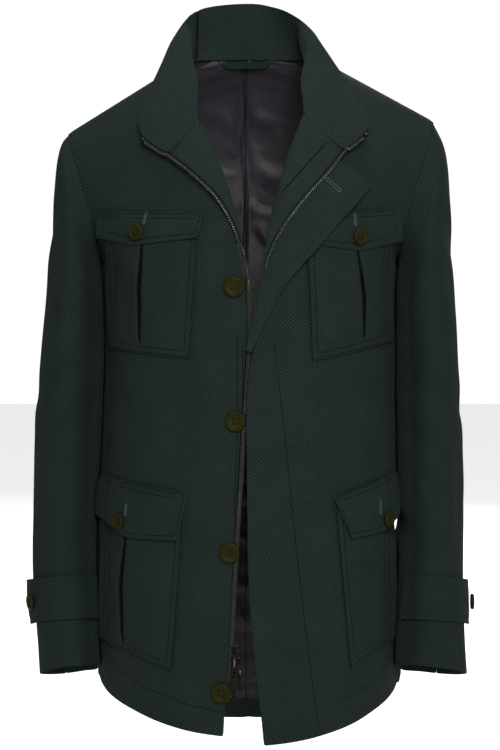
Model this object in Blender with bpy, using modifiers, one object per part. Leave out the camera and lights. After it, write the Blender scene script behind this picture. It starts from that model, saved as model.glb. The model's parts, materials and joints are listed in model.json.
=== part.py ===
"""Men's field jacket, open at the front, with its collar and front edges rolled out.

The cloth keeps the hollow form it has when it is worn. Lengths are in metres and +Z is up. The
front faces -Y and the wearer's right side is at -X. The origin lies between the shoulders, at the
height of the neck points, where a wearer carries the coat.
"""

import math

import bmesh
import bpy
import numpy as np
from mathutils import Matrix, Vector
from mathutils.bvhtree import BVHTree

MM = 0.001
RIGHT, LEFT = -1, 1

# Thicknesses and clearances
SHELL = 2.0 * MM            # wool shell cloth with its interlining
FACING = 2.4 * MM           # turned front edge, two layers
FLY = 1.4 * MM              # pressed flat
COLLAR = 3.0 * MM           # stand collar, two layers and canvas
LINING = 1.0 * MM
SEAM = 0.3 * MM             # space between pieces that are sewn together
TAPE = 1.2 * MM
TAPE_GAP = 1.0 * MM          # space between the zip tape and the cloth edge it leaves

# Sizes of the trimmings
FRONT_BUTTON = 23.5 * MM
SMALL_BUTTON = 19.0 * MM
BUTTON_THICK = 4.2 * MM
TAPE_SHOWN = 5.4 * MM       # zip tape that stands out of the front's edge
TURNED_SHOWN = 2.8 * MM     # the same on the turned facings and the collar
POCKET_LIFT = 0.6 * MM
POCKET_WALL = 2.2 * MM
PLEAT_DEPTH = 1.4 * MM
PLEAT_WIDTH = 3.0 * MM
FLAP_WALL = 2.4 * MM
STRAP_WALL = 2.4 * MM

ROUND_FRONT = 0.56          # length of a curve's handles, as a share of its reach
ROUND_BACK = 0.74           # the same for the flatter back, below the armholes
HEM_BOW = 2.2               # how late the hem's line climbs towards the side
HEM_BOW_BACK = 3.0

# Body of the coat. One row for each level, from the hem to the shoulder seam, in millimetres:
# height and depth on the centre line, then height, half width on each side, depth and the
# direction in which the cloth arrives there (degrees in plan), at the side seam or the armhole.
# The last two columns shift the left side's two heights.
BODY_COLUMNS = "z_in y_in z_out right_out left_out y_out turn left_in_shift left_out_shift"
FRONT_ROWS = (
    (-749, -134, -712, 179.0, 174.0, 6, 90, -8, -11),     # hem
    (-690, -137, -655, 179.5, 174.0, 6, 90, -4, -5),
    (-595, -139, -570, 181.0, 173.5, 6, 90, 0, 0),
    (-500, -138, -487, 177.5, 173.0, 6, 90, 0, 0),
    (-410, -136, -402, 171.5, 171.0, 6, 90, 0, 0),        # waist
    (-325, -137, -325, 168.5, 169.0, 6, 90, 0, 0),
    (-255, -139, -262, 168.5, 169.0, 7, 90, 0, 0),
    (-200, -138, -214, 172.0, 172.5, 8, 90, 0, 0),        # underarm
    (-168, -136, -202, 174.0, 174.5, -26, 82, 0, 0),
    (-132, -132, -178, 178.0, 178.5, -50, 70, 0, 0),
    (-94, -124, -148, 184.0, 184.5, -60, 62, 0, 0),
    (-52, -111, -114, 194.0, 195.5, -52, 56, 0, 3),
    (-8, -90, -88, 203.5, 206.0, -38, 48, 0, 7),
    (32, -60, -70, 209.0, 212.5, -23, 30, 0, 11),
    (60, -24, -62, 212.4, 216.6, -10, 12, 0, 13),
    (72, 6, -60, 213.0, 218.0, 2, 0, 0, 14),              # shoulder seam
    (69, 38, -61.4, 212.7, 217.4, 13, 0, 0, 14),          # just behind the seam
)
BACK_ROWS = (
    (-792, 122, -712, 179.0, 174.0, 6, 90, 0, -11),
    (-719, 126, -655, 179.5, 174.0, 6, 90, 0, -5),
    (-608, 127, -570, 181.0, 173.5, 6, 90, 0, 0),
    (-508, 122, -487, 177.5, 173.0, 6, 90, 0, 0),
    (-412, 113, -402, 171.5, 171.0, 6, 90, 0, 0),
    (-325, 113, -325, 168.5, 169.0, 6, 90, 0, 0),
    (-258, 118, -262, 168.5, 169.0, 7, 90, 0, 0),
    (-200, 124, -214, 172.0, 172.5, 8, 90, 0, 0),         # underarm
    (-165, 127, -202, 174.0, 174.5, 42, 82, 0, 0),
    (-128, 127, -176, 179.0, 179.5, 60, 70, 0, 0),
    (-90, 124, -144, 187.0, 187.5, 66, 62, 0, 0),
    (-52, 117, -112, 196.0, 197.5, 58, 56, 0, 3),
    (-14, 105, -88, 204.0, 206.5, 45, 48, 0, 7),
    (14, 90, -73, 208.5, 211.5, 33, 32, 0, 10),
    (28, 77, -66, 211.0, 215.0, 24, 18, 0, 12),           # centre back of the neck seam
    (55, 64, -62.6, 212.4, 216.8, 16, 10, 0, 13.2),
    (69, 38, -60.7, 212.9, 217.8, 9, 4, 0, 13.8),
    (72, 6, -60, 213.0, 218.0, 2, 0, 0, 14),              # shoulder seam
    (60, -24, -62, 212.4, 216.6, -10, 0, 0, 13),          # just before the seam
)
UNDERARM_ROW = 7
FRONT_TOP = len(FRONT_ROWS) - 2
BACK_TOP = len(BACK_ROWS) - 2
NECK_ROW = 14

# Soft folds that the hanging cloth keeps. A negative depth is a trough.
FOLD_COLUMNS = "side angle lean z_top z_bottom width depth"
BODY_FOLDS = (
    (RIGHT, 62, 6, -150, -330, 9, -3.5),
    (RIGHT, 40, -5, -330, -480, 8, -2.5),
    (RIGHT, 72, 4, -500, -735, 10, 3.0),
    (RIGHT, 132, 5, -150, -400, 11, -4.0),
    (RIGHT, 112, 0, -250, -560, 11, 5.0),
    (RIGHT, 154, 4, -400, -780, 12, 5.0),
    (RIGHT, 112, 0, -560, -900, 15, 7.0),
    (LEFT, 60, -6, -160, -340, 9, -3.5),
    (LEFT, 34, 4, -330, -560, 8, -3.0),
    (LEFT, 74, 3, -480, -740, 10, 3.0),
    (LEFT, 134, -5, -160, -410, 11, -4.0),
    (LEFT, 112, 0, -250, -560, 11, 5.0),
    (LEFT, 150, 5, -400, -790, 12, 5.0),
    (LEFT, 110, 0, -560, -900, 15, 17.0),
)

# Front edge of each front, as height and distance from the centre line to the wearer's own side.
# The upper part is tucked behind the roll of the facing.
EDGE_COLUMNS = "z out"
RIGHT_EDGE = (
    (-750, 29.5), (-700, 27), (-647, 23.5), (-590, 21), (-530, 17.5), (-493, 15.4), (-453, 12.2),
    (-400, 9.8), (-362, 7.4), (-330, 4.6), (-295, 2.4), (-272, 2.3), (-250, 2.8), (-225, 4.6),
    (-211, 6.2), (-203, 8.5), (-195, 11.5), (-186, 14), (-173, 18), (-156, 24), (-137, 32),
    (-117, 40.5), (-95, 51), (-69, 65), (-50, 74), (-20, 80), (0, 82.5), (20, 84),
)
LEFT_EDGE = (
    (-760, 17), (-710, 12.5), (-680, 9), (-648, 4.6), (-589, 0), (-530, -1.4), (-440, -2.2),
    (-400, -2.6), (-362, -3.9), (-334, -2.4), (-318, 0.5), (-304, 6), (-284, 10), (-262, 14),
    (-243, 18.5), (-232, 21), (-222, 23.5), (-207, 26.5), (-187, 31), (-159, 38.5), (-127, 49),
    (-88, 63), (-55, 75), (-27, 80), (0, 82.5), (20, 84),
)
LEFT_FRONT_PROUD = 6.0 * MM     # the left front lies over the right one

# Rolled front facings. Each row is a section across the roll: the crest of the roll and the free
# edge that carries the zip, and how far the edge stands off the front.
FACING_COLUMNS = "x_roll z_roll x_edge z_edge lift"
RIGHT_FACING = (
    (57, -50, 86, -90, 13), (45, -69, 65, -105.5, 13), (34, -95, 47, -121, 12.5),
    (25, -117, 34, -134, 11), (19, -137, 25, -147, 9), (13.5, -156, 17, -162, 7),
    (9.8, -173, 11.2, -176, 4.5), (7.8, -186, 8.6, -187, 3.2),
)
LEFT_FACING = (
    (62, -45, 101, -87, 13), (52, -69, 81, -111.5, 14), (43, -89, 65, -128, 14),
    (33, -122, 45, -152, 13.5), (25.5, -150, 33, -169.5, 12), (21, -172, 24.5, -186, 10),
    (17.5, -196, 17.5, -203, 8), (15, -212, 14.5, -217, 6.8),
)
FACING_TUCK = 25 * MM           # longest reach of a facing behind the front
BEHIND = 6.4 * MM               # depth of its visible side behind the outside of the front

# Fly flap of the left front, turned out with the facing and lying under it.
FLY_COLUMNS = "x_in z_in lift_in x_roll z_roll lift_roll x_edge z_edge lift"
LEFT_FLY = (
    (78, -84, 7.0, 104, -99, 7.5, 135, -124, 8.0),
    (62, -99, 7.0, 86, -116, 9.0, 117, -144, 11.5),
    (47, -122, 7.0, 66, -140, 9.8, 93, -169, 12.8),
    (36, -150, 6.5, 49, -164, 9.6, 75, -190, 12.6),
    (29, -178, 5.5, 38, -189, 7.6, 56, -212, 9.8),
    (24, -204, 3.6, 28, -213, 5.0, 43, -230, 6.0),
    (15.5, -223, 2.4, 17, -230, 4.2, 34, -243, 5.2),
    (15.0, -233, -3.6, 11.0, -241, 0.6, 29, -252, 4.7),
    (24, -244, -7.0, 8.5, -249, -1.2, 25, -260, 4.3),
    (30, -262, -7.2, 5.5, -264, -1.8, 18, -274, 3.8),
    (26, -284, -7.2, 1.5, -284, -1.8, 9, -293, 3.3),
    (23, -304, -7.2, -0.8, -304, -1.8, 3.0, -308, 3.0),
)

# Stand collar, one rolled strip that goes on from the facing. Each row is a section from the neck
# seam over the roll to the free edge. Tucked sections start behind the front, and straight says
# how far a section keeps from a tight roll. The corner lies in the row named by COLLAR_CORNER.
COLLAR_COLUMNS = "tucked x0 y0 z0 x1 y1 z1 x2 y2 z2 straight"
COLLAR_CORNER = 3
RIGHT_COLLAR = (
    (1, 82, 0, -45, 58.5, -97.5, -43, 97, -112, -84, 0.05),
    (1, 82, 0, -38, 60.5, -92, -35, 109, -105, -76, 0.05),
    (1, 82, 0, -31, 62, -86, -27, 119, -98, -69, 0.06),
    (1, 82, 0, -23, 63.5, -79, -18, 125, -88, -58, 0.06),
    (1, 82, 0, -14, 65, -70.5, -9, 126, -78, -46, 0.06),
    (1, 81, 0, -3, 66.5, -58, 2, 121, -62, -28, 0.06),
    (0, 77, -32, 8, 67.3, -44, 12, 113, -44, -7, 0.07),
    (0, 79.5, -15, 13, 67.5, -24, 24, 104, -20, 17, 0.08),
    (0, 80, 1, 18, 67.5, -5, 37, 96, 0, 39, 0.10),
    (0, 77, 17, 22, 67.5, 15, 53, 88, 20, 57, 0.14),
    (0, 60.5, 41.2, 28.5, 66.5, 48, 57, 71, 50, 83, 0.30),
    (0, 37, 59.4, 30, 40, 69.0, 63, 47, 73, 96, 0.33),
    (0, 0, 68.4, 31.2, 2, 75.4, 65, -3, 81, 100.5, 0.33),
)
LEFT_COLLAR = (
    (1, 84, 0, -40, 63.5, -95.5, -38, 109, -109, -81, 0.05),
    (1, 84, 0, -33, 65, -90, -30, 120, -103, -73, 0.05),
    (1, 84, 0, -26, 66, -84, -22, 131, -97, -64, 0.06),
    (1, 84, 0, -18, 67, -77, -13, 136.5, -86, -53, 0.06),
    (1, 84, 0, -9, 67.5, -69, -4, 136.5, -79, -43, 0.06),
    (1, 82, 0, 2, 67.8, -58.5, 6, 125, -63, -22, 0.06),
    (0, 77.5, -32, 12, 67.3, -44, 16, 112, -44, 0, 0.07),
    (0, 80, -15, 18, 66, -25, 23, 98, -24, 24, 0.08),
    (0, 80, 0, 24, 62, -9, 32, 85, -5, 45, 0.10),
    (0, 77.5, 17, 27, 58, 11, 47, 72, 19, 66, 0.14),
    (0, 60.5, 41.2, 28.5, 57, 47.5, 56, 48, 48, 86, 0.30),
    (0, 37, 59.4, 30, 32, 70.0, 62, 26, 75.5, 96, 0.33),
    (0, 0, 68.4, 31.2, -2, 75.4, 65, 3, 81, 100.5, 0.33),
)

# Sleeves. Each row is a slanting ring: height and distance from the centre plane on its outer
# and its inner side, for the right and the left arm, then its middle depth and its size from
# front to back, how far its back comes in towards the body, and how far its front rises. The
# armhole itself is the first ring.
SLEEVE_COLUMNS = "z_out right_out left_out z_in right_in left_in middle depth lean tilt"
SLEEVE_ROWS = (
    (-74, 222.5, 230.5, -218, 178, 179.0, 1, 134, 0, 0),
    (-112, 229.0, 236.0, -234, 178, 180.0, 2, 146, 4, 0),
    (-178, 233.5, 239.5, -260, 177, 180.0, 4, 150, 15, 0),
    (-255, 242.0, 245.5, -300, 177, 180.5, 7, 148, 18, 0),
    (-350, 251.0, 251.0, -360, 176.5, 180.5, 10, 142, 20, 0),
    (-455, 258.0, 257.0, -455, 180.0, 181.0, 8, 134, 16, 2),
    (-540, 259.5, 256.5, -535, 183.5, 184.0, -2, 124, 12, 8),
    (-600, 258.0, 256.5, -595, 182.5, 182.0, -11, 118, 8, 13),
    (-650, 252.0, 257.5, -645, 181, 178.5, -18, 113, 4, 15),
    (-701, 249.5, 260.0, -692, 180.5, 176.5, -24, 111, 0, 16),
)
INNER_SQUARE = 0.78         # below 1, a sleeve's inner side is flatter than an ellipse
SLEEVE_RINGS = len(SLEEVE_ROWS)
SEAM_FRONT, SEAM_BACK = 158, 285    # degrees round the sleeve where its two pieces are sewn
SLEEVE_FOLD_COLUMNS = "side angle lean z_top z_bottom width depth"
SLEEVE_FOLDS = (
    (RIGHT, 40, 12, -110, -300, 16, -3.0),
    (RIGHT, 118, -20, -250, -430, 14, -3.0),
    (RIGHT, 52, 14, -430, -640, 12, -4.0),
    (RIGHT, 250, 20, -300, -470, 15, -4.0),
    (LEFT, 44, 10, -100, -290, 16, -3.0),
    (LEFT, 122, -16, -240, -420, 14, -3.0),
    (LEFT, 36, -12, -420, -620, 12, -3.5),
    (LEFT, 255, 18, -310, -480, 15, -4.0),
)

# Patch pockets: the corners of each body, and its pleat line, on the wearer's own side.
POCKET_COLUMNS = "side xa za xb zb xc zc xd zd pleat"      # a, b upper outer and inner; c, d lower
POCKETS = {
    "chest_pocket_right": (RIGHT, 163, -184, 56, -172, 161, -310, 66, -317, 0.40),
    "chest_pocket_left": (LEFT, 163, -180, 64, -178, 162, -303, 70, -320, 0.38),
    "lower_pocket_right": (RIGHT, 170, -480, 73, -490, 172, -652, 87, -675, 0.36),
    "lower_pocket_left": (LEFT, 165, -478, 98, -490, 168, -650, 115, -677, 0.50),
}

# Pocket flaps: outer and inner upper corner, outer and inner lower corner, the lowest point
# between them as a share of the width and a drop, and how far the free edge lifts.
FLAP_COLUMNS = "side xa za xb zb xc zc xd zd point drop lift"
FLAPS = {
    "chest_flap_right": (RIGHT, 171, -152, 48, -153, 172, -179, 56, -181, 0.38, 9, 5.0),
    "chest_flap_left": (LEFT, 170, -149, 62, -154, 174, -183, 68, -188, 0.47, 9, 4.5),
    "lower_flap_right": (RIGHT, 168, -459, 68, -470, 174.5, -505, 79, -523, 0.38, 14, 5.5),
    "lower_flap_left": (LEFT, 166, -457, 94, -475, 172.0, -505, 112, -524, 0.30, 10, 5.5),
}
SMALL_BUTTONS = {
    "chest_flap_right": (122, -174),
    "chest_flap_left": (121, -178.5),
    "lower_flap_right": (143, -508),
    "lower_flap_left": (153, -508),
}
FRONT_BUTTONS = ((59.5, -103.5), (16.6, -235.4), (14.9, -386.7), (21.7, -535.4), (31.2, -696.4))

# Cuff straps: round the sleeve from the front seam past its outer side, in degrees.
STRAP_COLUMNS = "side start end z_top z_bottom tip_lift button_angle button_z"
STRAPS = {
    "cuff_strap_right": (RIGHT, 150, -14, -590, -642, 8.0, 30, -617),
    "cuff_strap_left": (LEFT, 140, -12, -590, -643, 5.0, 4, -616),
}

# Zip. Below the right facing the tape turns over from the roll to the front's own edge: height,
# distance in front of the cloth edge, lift and direction in plan (degrees, 0 points to the left).
TAPE_TURN_COLUMNS = "z clear lift turn"
TAPE_TURN = ((-193, 4.2, 1.6, -100), (-201, 1.6, 0.8, -62), (-209, 0.6, -0.3, -32), (-220, 0.2, -0.9, -8))
ZIP_FOOT = -690 * MM

# Both sliders are parked at the foot of the right tape.
SLIDER_Z = (-647 * MM, -660 * MM)
SLIDER_BACK = 3.6 * MM                              # reach behind the tape's free edge
SLIDER_AHEAD = (7.6 * MM, 9.6 * MM)                 # reach in front of it
SLIDER_LONG, SLIDER_THICK = 9.5 * MM, 6.6 * MM
LUG_AHEAD = (0.6 * MM, 8.0 * MM)
PULL_LONG = (57 * MM, 33 * MM)
PULL_WIDE = (6.4 * MM, 5.4 * MM)
PULL_THICK = 1.6 * MM

COLOURS = {     # linear colour, roughness, metallic
    "shell_cloth": ((0.015, 0.023, 0.020), 0.92, 0.0),
    "facing_cloth": ((0.016, 0.026, 0.022), 0.90, 0.0),
    "lining_satin": ((0.024, 0.023, 0.028), 0.42, 0.0),
    "button_horn": ((0.060, 0.058, 0.022), 0.35, 0.0),
    "zip_tape": ((0.022, 0.025, 0.021), 0.85, 0.0),
    "zip_metal": ((0.32, 0.31, 0.29), 0.32, 1.0),
}


# ---------------------------------------------------------------- tables and curves

def columns(names, rows):
    """Turn rows with named columns into one array for each name."""
    return {name: np.array([row[i] for row in rows], float) for i, name in enumerate(names.split())}


def along(values, t):
    """Smooth value at the row position t of a list of values, from 0 to its last row."""
    last = len(values) - 1
    k = int(min(max(t, 0), last - 1e-9))
    f = t - k
    b, c = values[k], values[k + 1]
    a = values[k - 1] if k > 0 else 2 * b - c
    d = values[k + 2] if k + 2 <= last else 2 * c - b
    return b + 0.5 * f * (c - a + f * (2 * a - 5 * b + 4 * c - d + f * (3 * (b - c) + d - a)))


def roll(start, crest, end, straight, w):
    """Section that goes from start over a crest to end; straight = 1/3 gives a plain arc."""
    lean = (end - start) * straight
    push = (crest - (start + end) / 2) / 0.75
    first, second = start + lean + push, end - lean + push
    v = 1 - w
    return v**3 * start + 3 * v * v * w * first + 3 * v * w * w * second + w**3 * end


def fold_depth(folds, side, angle, z):
    """Outward shift in metres that the soft folds give at an angle and a height."""
    total = 0.0
    for fold_side, centre, lean, z_top, z_bottom, width, depth in folds:
        if fold_side != side:
            continue
        share = (z / MM - z_bottom) / (z_top - z_bottom)
        if not 0 < share < 1:
            continue
        across = (angle - centre - lean * (share - 0.5) * 2) / width
        total += depth * MM * math.sin(math.pi * share) ** 1.5 * math.exp(-across * across)
    return total


# ---------------------------------------------------------------- body of the coat

class Body:
    """One quarter of the coat's form: a side of the front or of the back."""

    def __init__(self, rows, side):
        table = columns(BODY_COLUMNS, rows)
        out, z_in, z_out = table["right_out"], table["z_in"], table["z_out"]
        if side == LEFT:
            out = table["left_out"]
            z_in, z_out = z_in + table["left_in_shift"], z_out + table["left_out_shift"]
        self.side = side
        self.is_back = rows[0][1] > 0
        self.rows = np.stack([z_in * MM, table["y_in"] * MM, z_out * MM, out * MM,
                              table["y_out"] * MM, table["turn"]], 1)

    def point(self, s, t):
        """Point on the outside of the cloth: s from the centre line (0) to the side (1)."""
        z_in, y_in = along(self.rows[:, :2], t)
        if t <= UNDERARM_ROW:       # the side seam and the armhole meet in a corner
            z_out, x_out, y_out, turn = along(self.rows[:UNDERARM_ROW + 1, 2:], t)
        else:
            z_out, x_out, y_out, turn = along(self.rows[UNDERARM_ROW:, 2:], t - UNDERARM_ROW)
        below = min(max((UNDERARM_ROW + 4 - t) / 6, 0), 1)
        below *= below * (3 - 2 * below)
        bow = 1 + ((HEM_BOW_BACK if self.is_back else HEM_BOW) - 1) * below
        handle = ROUND_FRONT + (ROUND_BACK - ROUND_FRONT) * (below if self.is_back else 0)
        cos_t, sin_t = math.cos(math.radians(turn)), math.sin(math.radians(turn))
        v = 1 - s
        w0, w1, w2, w3 = v**3, 3 * v * v * s, 3 * v * s * s, s**3
        x = w1 * handle * x_out + w2 * x_out * (1 - 0.4 * cos_t) + w3 * x_out
        y = (w0 + w1) * y_in + w2 * (y_out - handle * sin_t * (y_out - y_in)) + w3 * y_out
        fall = max(x / x_out, 0)
        if self.is_back:            # no crease along the centre back
            soft = 0.07 * min(max((BACK_TOP - t) / 2.5, 0), 1)
            fall = (math.hypot(fall, soft) - soft) / (math.hypot(1, soft) - soft)
        z = z_in + (z_out - z_in) * fall ** bow
        angle = math.degrees(math.atan2(x, -y))
        reach = math.hypot(x, y)
        grow = 1 + fold_depth(BODY_FOLDS, self.side, angle, z) / max(reach, 50 * MM)
        return np.array((self.side * x * grow, y * grow, z))

    def normal(self, s, t):
        """Outward direction of the cloth."""
        step = 1e-4
        s = min(s, 1 - step)
        t = min(t, len(self.rows) - 1 - step)
        across = self.point(s + step, t) - self.point(s, t)
        up = self.point(s, t + step) - self.point(s, t)
        n = np.cross(across, up)
        n /= np.linalg.norm(n)
        return n * self.side * (-1 if self.is_back else 1)

    def at_x(self, t, x):
        """Share s at which the row position t lies at a distance x from the centre line."""
        s = x / 0.25
        for _ in range(14):
            here = self.point(s, t)[0] * self.side
            slope = (self.point(s + 1e-3, t)[0] * self.side - here) / 1e-3
            s += (x - here) / slope
        return s

    def find(self, x, z):
        """Position (s, t) of the point with the given distance out and height."""
        s, t = min(abs(x) / 0.2, 0.9), 5.0
        step = 1e-4
        target = np.array((self.side * x, z))
        for _ in range(12):
            here = self.point(s, t)[[0, 2]]
            ds = (self.point(s + step, t)[[0, 2]] - here) / step
            dt = (self.point(s, t + step)[[0, 2]] - here) / step
            move = np.linalg.solve(np.stack([ds, dt], 1), target - here)
            s += float(np.clip(move[0], -0.2, 0.2))
            t += float(np.clip(move[1], -1.5, 1.5))
            s = float(np.clip(s, -0.15, 0.9995))
            t = float(np.clip(t, 0.0, len(self.rows) - 1.01))
            if np.abs(move).max() < 1e-6:
                break
        return s, t

    def on(self, x, z, lift=0.0):
        """Point over the cloth at a distance out and a height, and the direction out of it."""
        s, t = self.find(x, z)
        n = self.normal(s, t)
        return self.point(s, t) + n * lift, n


FRONT = {side: Body(FRONT_ROWS, side) for side in (RIGHT, LEFT)}
BACK = {side: Body(BACK_ROWS, side) for side in (RIGHT, LEFT)}
EDGE = {RIGHT: columns(EDGE_COLUMNS, RIGHT_EDGE), LEFT: columns(EDGE_COLUMNS, LEFT_EDGE)}


def edge_out(side, z):
    """Distance of a front's edge from the centre line, towards its own side."""
    return float(np.interp(z / MM, EDGE[side]["z"], EDGE[side]["out"])) * MM


def front_start(side, t):
    """Share s at which the front's edge lies at the row position t."""
    body = FRONT[side]
    s = 0.05
    for _ in range(14):
        here = body.point(s, t)
        wanted = edge_out(side, here[2])
        slope = (body.point(s + 1e-3, t)[0] - here[0]) * side / 1e-3
        s += (wanted - here[0] * side) / slope
    return s


def front_proud(side, z):
    """How far the left front stands over the right one below the roll."""
    if side == RIGHT:
        return 0.0
    share = min(max((-225 * MM - z) / (50 * MM), 0), 1)
    return LEFT_FRONT_PROUD * share * share * (3 - 2 * share)


def front_point(side, u, t):
    """Outside of a front, from its edge (u = 0) to the side seam or armhole (u = 1)."""
    start = front_start(side, t)
    s = start + (1 - start) * u
    body = FRONT[side]
    point = body.point(s, t)
    proud = front_proud(side, point[2]) * (1 - u) ** 2
    return point + body.normal(s, t) * proud


BACK_NECK = np.array([0.0] * (NECK_ROW + 1) + [52.0, 74.0, 84.0, 84.0]) * MM


def back_point(side, u, t):
    """Outside of a back half, from the centre seam or the neck (u = 0) to the side (u = 1)."""
    body = BACK[side]
    start = body.at_x(t, float(along(BACK_NECK, t))) if t > NECK_ROW else 0.0
    return body.point(start + (1 - start) * u, t)


# ---------------------------------------------------------------- rolled edges and collar

def facing_sections(side):
    """Start, crest and free edge of each section of a rolled facing."""
    body = FRONT[side]
    sections = []
    for x_roll, z_roll, x_edge, z_edge, lift in (RIGHT_FACING if side == RIGHT else LEFT_FACING):
        tuck = min(8 * MM + 0.9 * (x_edge - x_roll) * MM, FACING_TUCK)
        start, _ = body.on(x_roll * MM + tuck, z_roll * MM - 2 * MM, -BEHIND)
        end, _ = body.on(x_edge * MM, z_edge * MM, lift * MM)
        crest, _ = body.on(x_roll * MM, z_roll * MM, (lift * MM - BEHIND) / 2)
        sections.append((start, crest, end))
    return sections


FACING_SECTIONS = {side: facing_sections(side) for side in (RIGHT, LEFT)}
FACING_LAST = len(RIGHT_FACING) - 1


def facing_point(side, w, t):
    """Visible side of a facing: w from inside the front over the roll to the zip, t downwards."""
    return rolled_point(FACING_LAST - t if side == RIGHT else ROLLED_LAST - FACING_LAST + t, w)


def fly_point(w, t):
    """Visible side of the turned fly flap of the left front."""
    if not FLY_SECTIONS:
        for x0, z0, l0, x1, z1, l1, x2, z2, l2 in LEFT_FLY:
            FLY_SECTIONS.append([lie_on_front(LEFT, x * MM, z * MM, lift * MM)[0]
                                 for x, z, lift in ((x0, z0, l0), (x1, z1, l1), (x2, z2, l2))])
    start, crest, end = (along([section[i] for section in FLY_SECTIONS], t) for i in range(3))
    return roll(start, crest, end, 0.25 - 0.19 * min(max((t - 5) / 2, 0), 1), w)


FLY_SECTIONS = []


def rolled_sections():
    """Sections of the one rolled strip: up the right facing, round the collar, down the left."""
    halves = []
    for side, rows in ((RIGHT, RIGHT_COLLAR), (LEFT, LEFT_COLLAR)):
        half = [(*section, 0.04) for section in reversed(FACING_SECTIONS[side])]
        for tucked, x0, y0, z0, x1, y1, z1, x2, y2, z2, straight in rows:
            start = np.array((side * x0, y0, z0)) * MM
            if tucked:
                start, _ = FRONT[side].on(x0 * MM, z0 * MM, -BEHIND)
            crest = np.array((side * x1, y1, z1)) * MM
            end = np.array((side * x2, y2, z2)) * MM
            half.append((start, crest, end, straight))
        halves.append(half)
    return halves[0] + halves[1][-2::-1]


ROLLED_SECTIONS = rolled_sections()
ROLLED_LAST = len(ROLLED_SECTIONS) - 1
COLLAR_LAST = ROLLED_LAST - 2 * FACING_LAST


def rolled_point(t, w):
    """Visible side of the rolled strip: w from its hidden edge to its free edge."""
    start, crest, end, straight = (
        along([section[i] for section in ROLLED_SECTIONS], t) for i in range(4))
    near = min(t, ROLLED_LAST - t) - FACING_LAST
    if COLLAR_CORNER - 1 < near < COLLAR_CORNER + 1:
        k = int(t)
        f = t - k
        end = ROLLED_SECTIONS[k][2] * (1 - f) + ROLLED_SECTIONS[min(k + 1, ROLLED_LAST)][2] * f
    return roll(start, crest, end, straight, w)


def collar_point(t, w):
    """Inner side of the collar: w from the neck seam to the free edge."""
    return rolled_point(t + FACING_LAST, w)


# ---------------------------------------------------------------- sleeves

def armhole_path(side):
    """The armhole's edge, from the shoulder down the front and up the back, with the cloth's
    own direction there."""
    points, normals = [], []
    for body, top in ((FRONT[side], FRONT_TOP), (BACK[side], BACK_TOP)):
        steps = np.linspace(top, UNDERARM_ROW, 25)
        steps = steps if body is FRONT[side] else steps[::-1]
        for t in steps:
            points.append(body.point(1.0, t))
            normals.append(body.normal(1.0, t))
    return np.array(points), np.array(normals)


def armhole_table(side):
    points, normals = armhole_path(side)
    half = len(points) // 2
    angles = []
    for part, base in ((points[:half], 0.0), (points[half:], 180.0)):
        steps = np.linalg.norm(np.diff(part, axis=0), axis=1)
        run = np.concatenate([[0], np.cumsum(steps)])
        angles.extend(base + 180 * run / run[-1])
    return np.array(angles), points, normals


ARMHOLE = {side: armhole_table(side) for side in (RIGHT, LEFT)}


def at_armhole(side, angle, what):
    """Point (what = 1) or cloth direction (what = 2) on the armhole, by angle round it."""
    table = ARMHOLE[side]
    angle %= 360
    return np.array([np.interp(angle, table[0], table[what][:, i]) for i in range(3)])


def sleeve_rows(side):
    table = columns(SLEEVE_COLUMNS, SLEEVE_ROWS)
    name = "left" if side == LEFT else "right"
    outer = np.stack([side * table[name + "_out"], table["middle"], table["z_out"]], 1) * MM
    inner = np.stack([side * table[name + "_in"], table["middle"], table["z_in"]], 1) * MM
    return outer, inner, table["depth"] * MM, table["lean"] * MM, table["tilt"] * MM


SLEEVE = {side: sleeve_rows(side) for side in (RIGHT, LEFT)}


def sleeve_point(side, angle, t):
    """Outside of a sleeve. The angle is 0 on the outer side, 90 in front and 180 inside; t is 0
    on the armhole and 1 to SLEEVE_RINGS on the rings below it."""
    outer, inner, depth, lean, tilt = SLEEVE[side]
    c, s = math.cos(math.radians(angle)), math.sin(math.radians(angle))
    across = c if c > 0 else -abs(c) ** INNER_SQUARE
    back = max(-s, 0)
    rings = [at_armhole(side, angle, 1)]
    first = min(max(int(t) - 2, 0), SLEEVE_RINGS - 3)
    rings += [None] * first
    for k in range(first, min(first + 5, SLEEVE_RINGS)):
        ring = (outer[k] + inner[k]) / 2 + (outer[k] - inner[k]) / 2 * across
        ring[0] -= side * lean[k] * back
        ring[1] -= depth[k] / 2 * s
        ring[2] += tilt[k] * s
        rings.append(ring)
    rings += [None] * (SLEEVE_RINGS + 1 - len(rings))
    point = along(rings, t)
    share = min(t, 1.0)
    bulge = fold_depth(SLEEVE_FOLDS, side, angle % 360, point[2]) * share
    direction = np.array((side * c, -s, 0.0))
    return point + direction * bulge


def sleeve_normal(side, angle, t):
    step = 1e-3
    low = min(t, SLEEVE_RINGS - step)
    round_ = sleeve_point(side, angle + 0.2, low) - sleeve_point(side, angle - 0.2, low)
    down = sleeve_point(side, angle, low + step) - sleeve_point(side, angle, low)
    n = np.cross(round_, down)
    n /= np.linalg.norm(n)
    return n * side


def sleeve_height(side, angle, z):
    """Row position on a sleeve at which the given angle reaches a height."""
    low, high = 1.0, float(SLEEVE_RINGS)
    for _ in range(30):
        middle = (low + high) / 2
        if sleeve_point(side, angle, middle)[2] > z:
            low = middle
        else:
            high = middle
    return (low + high) / 2


# ---------------------------------------------------------------- making solids

def start_scene():
    for thing in list(bpy.data.objects):
        bpy.data.objects.remove(thing)
    coat = bpy.data.collections.new("field_jacket")
    bpy.context.scene.collection.children.link(coat)
    return coat


COAT = start_scene()


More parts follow.
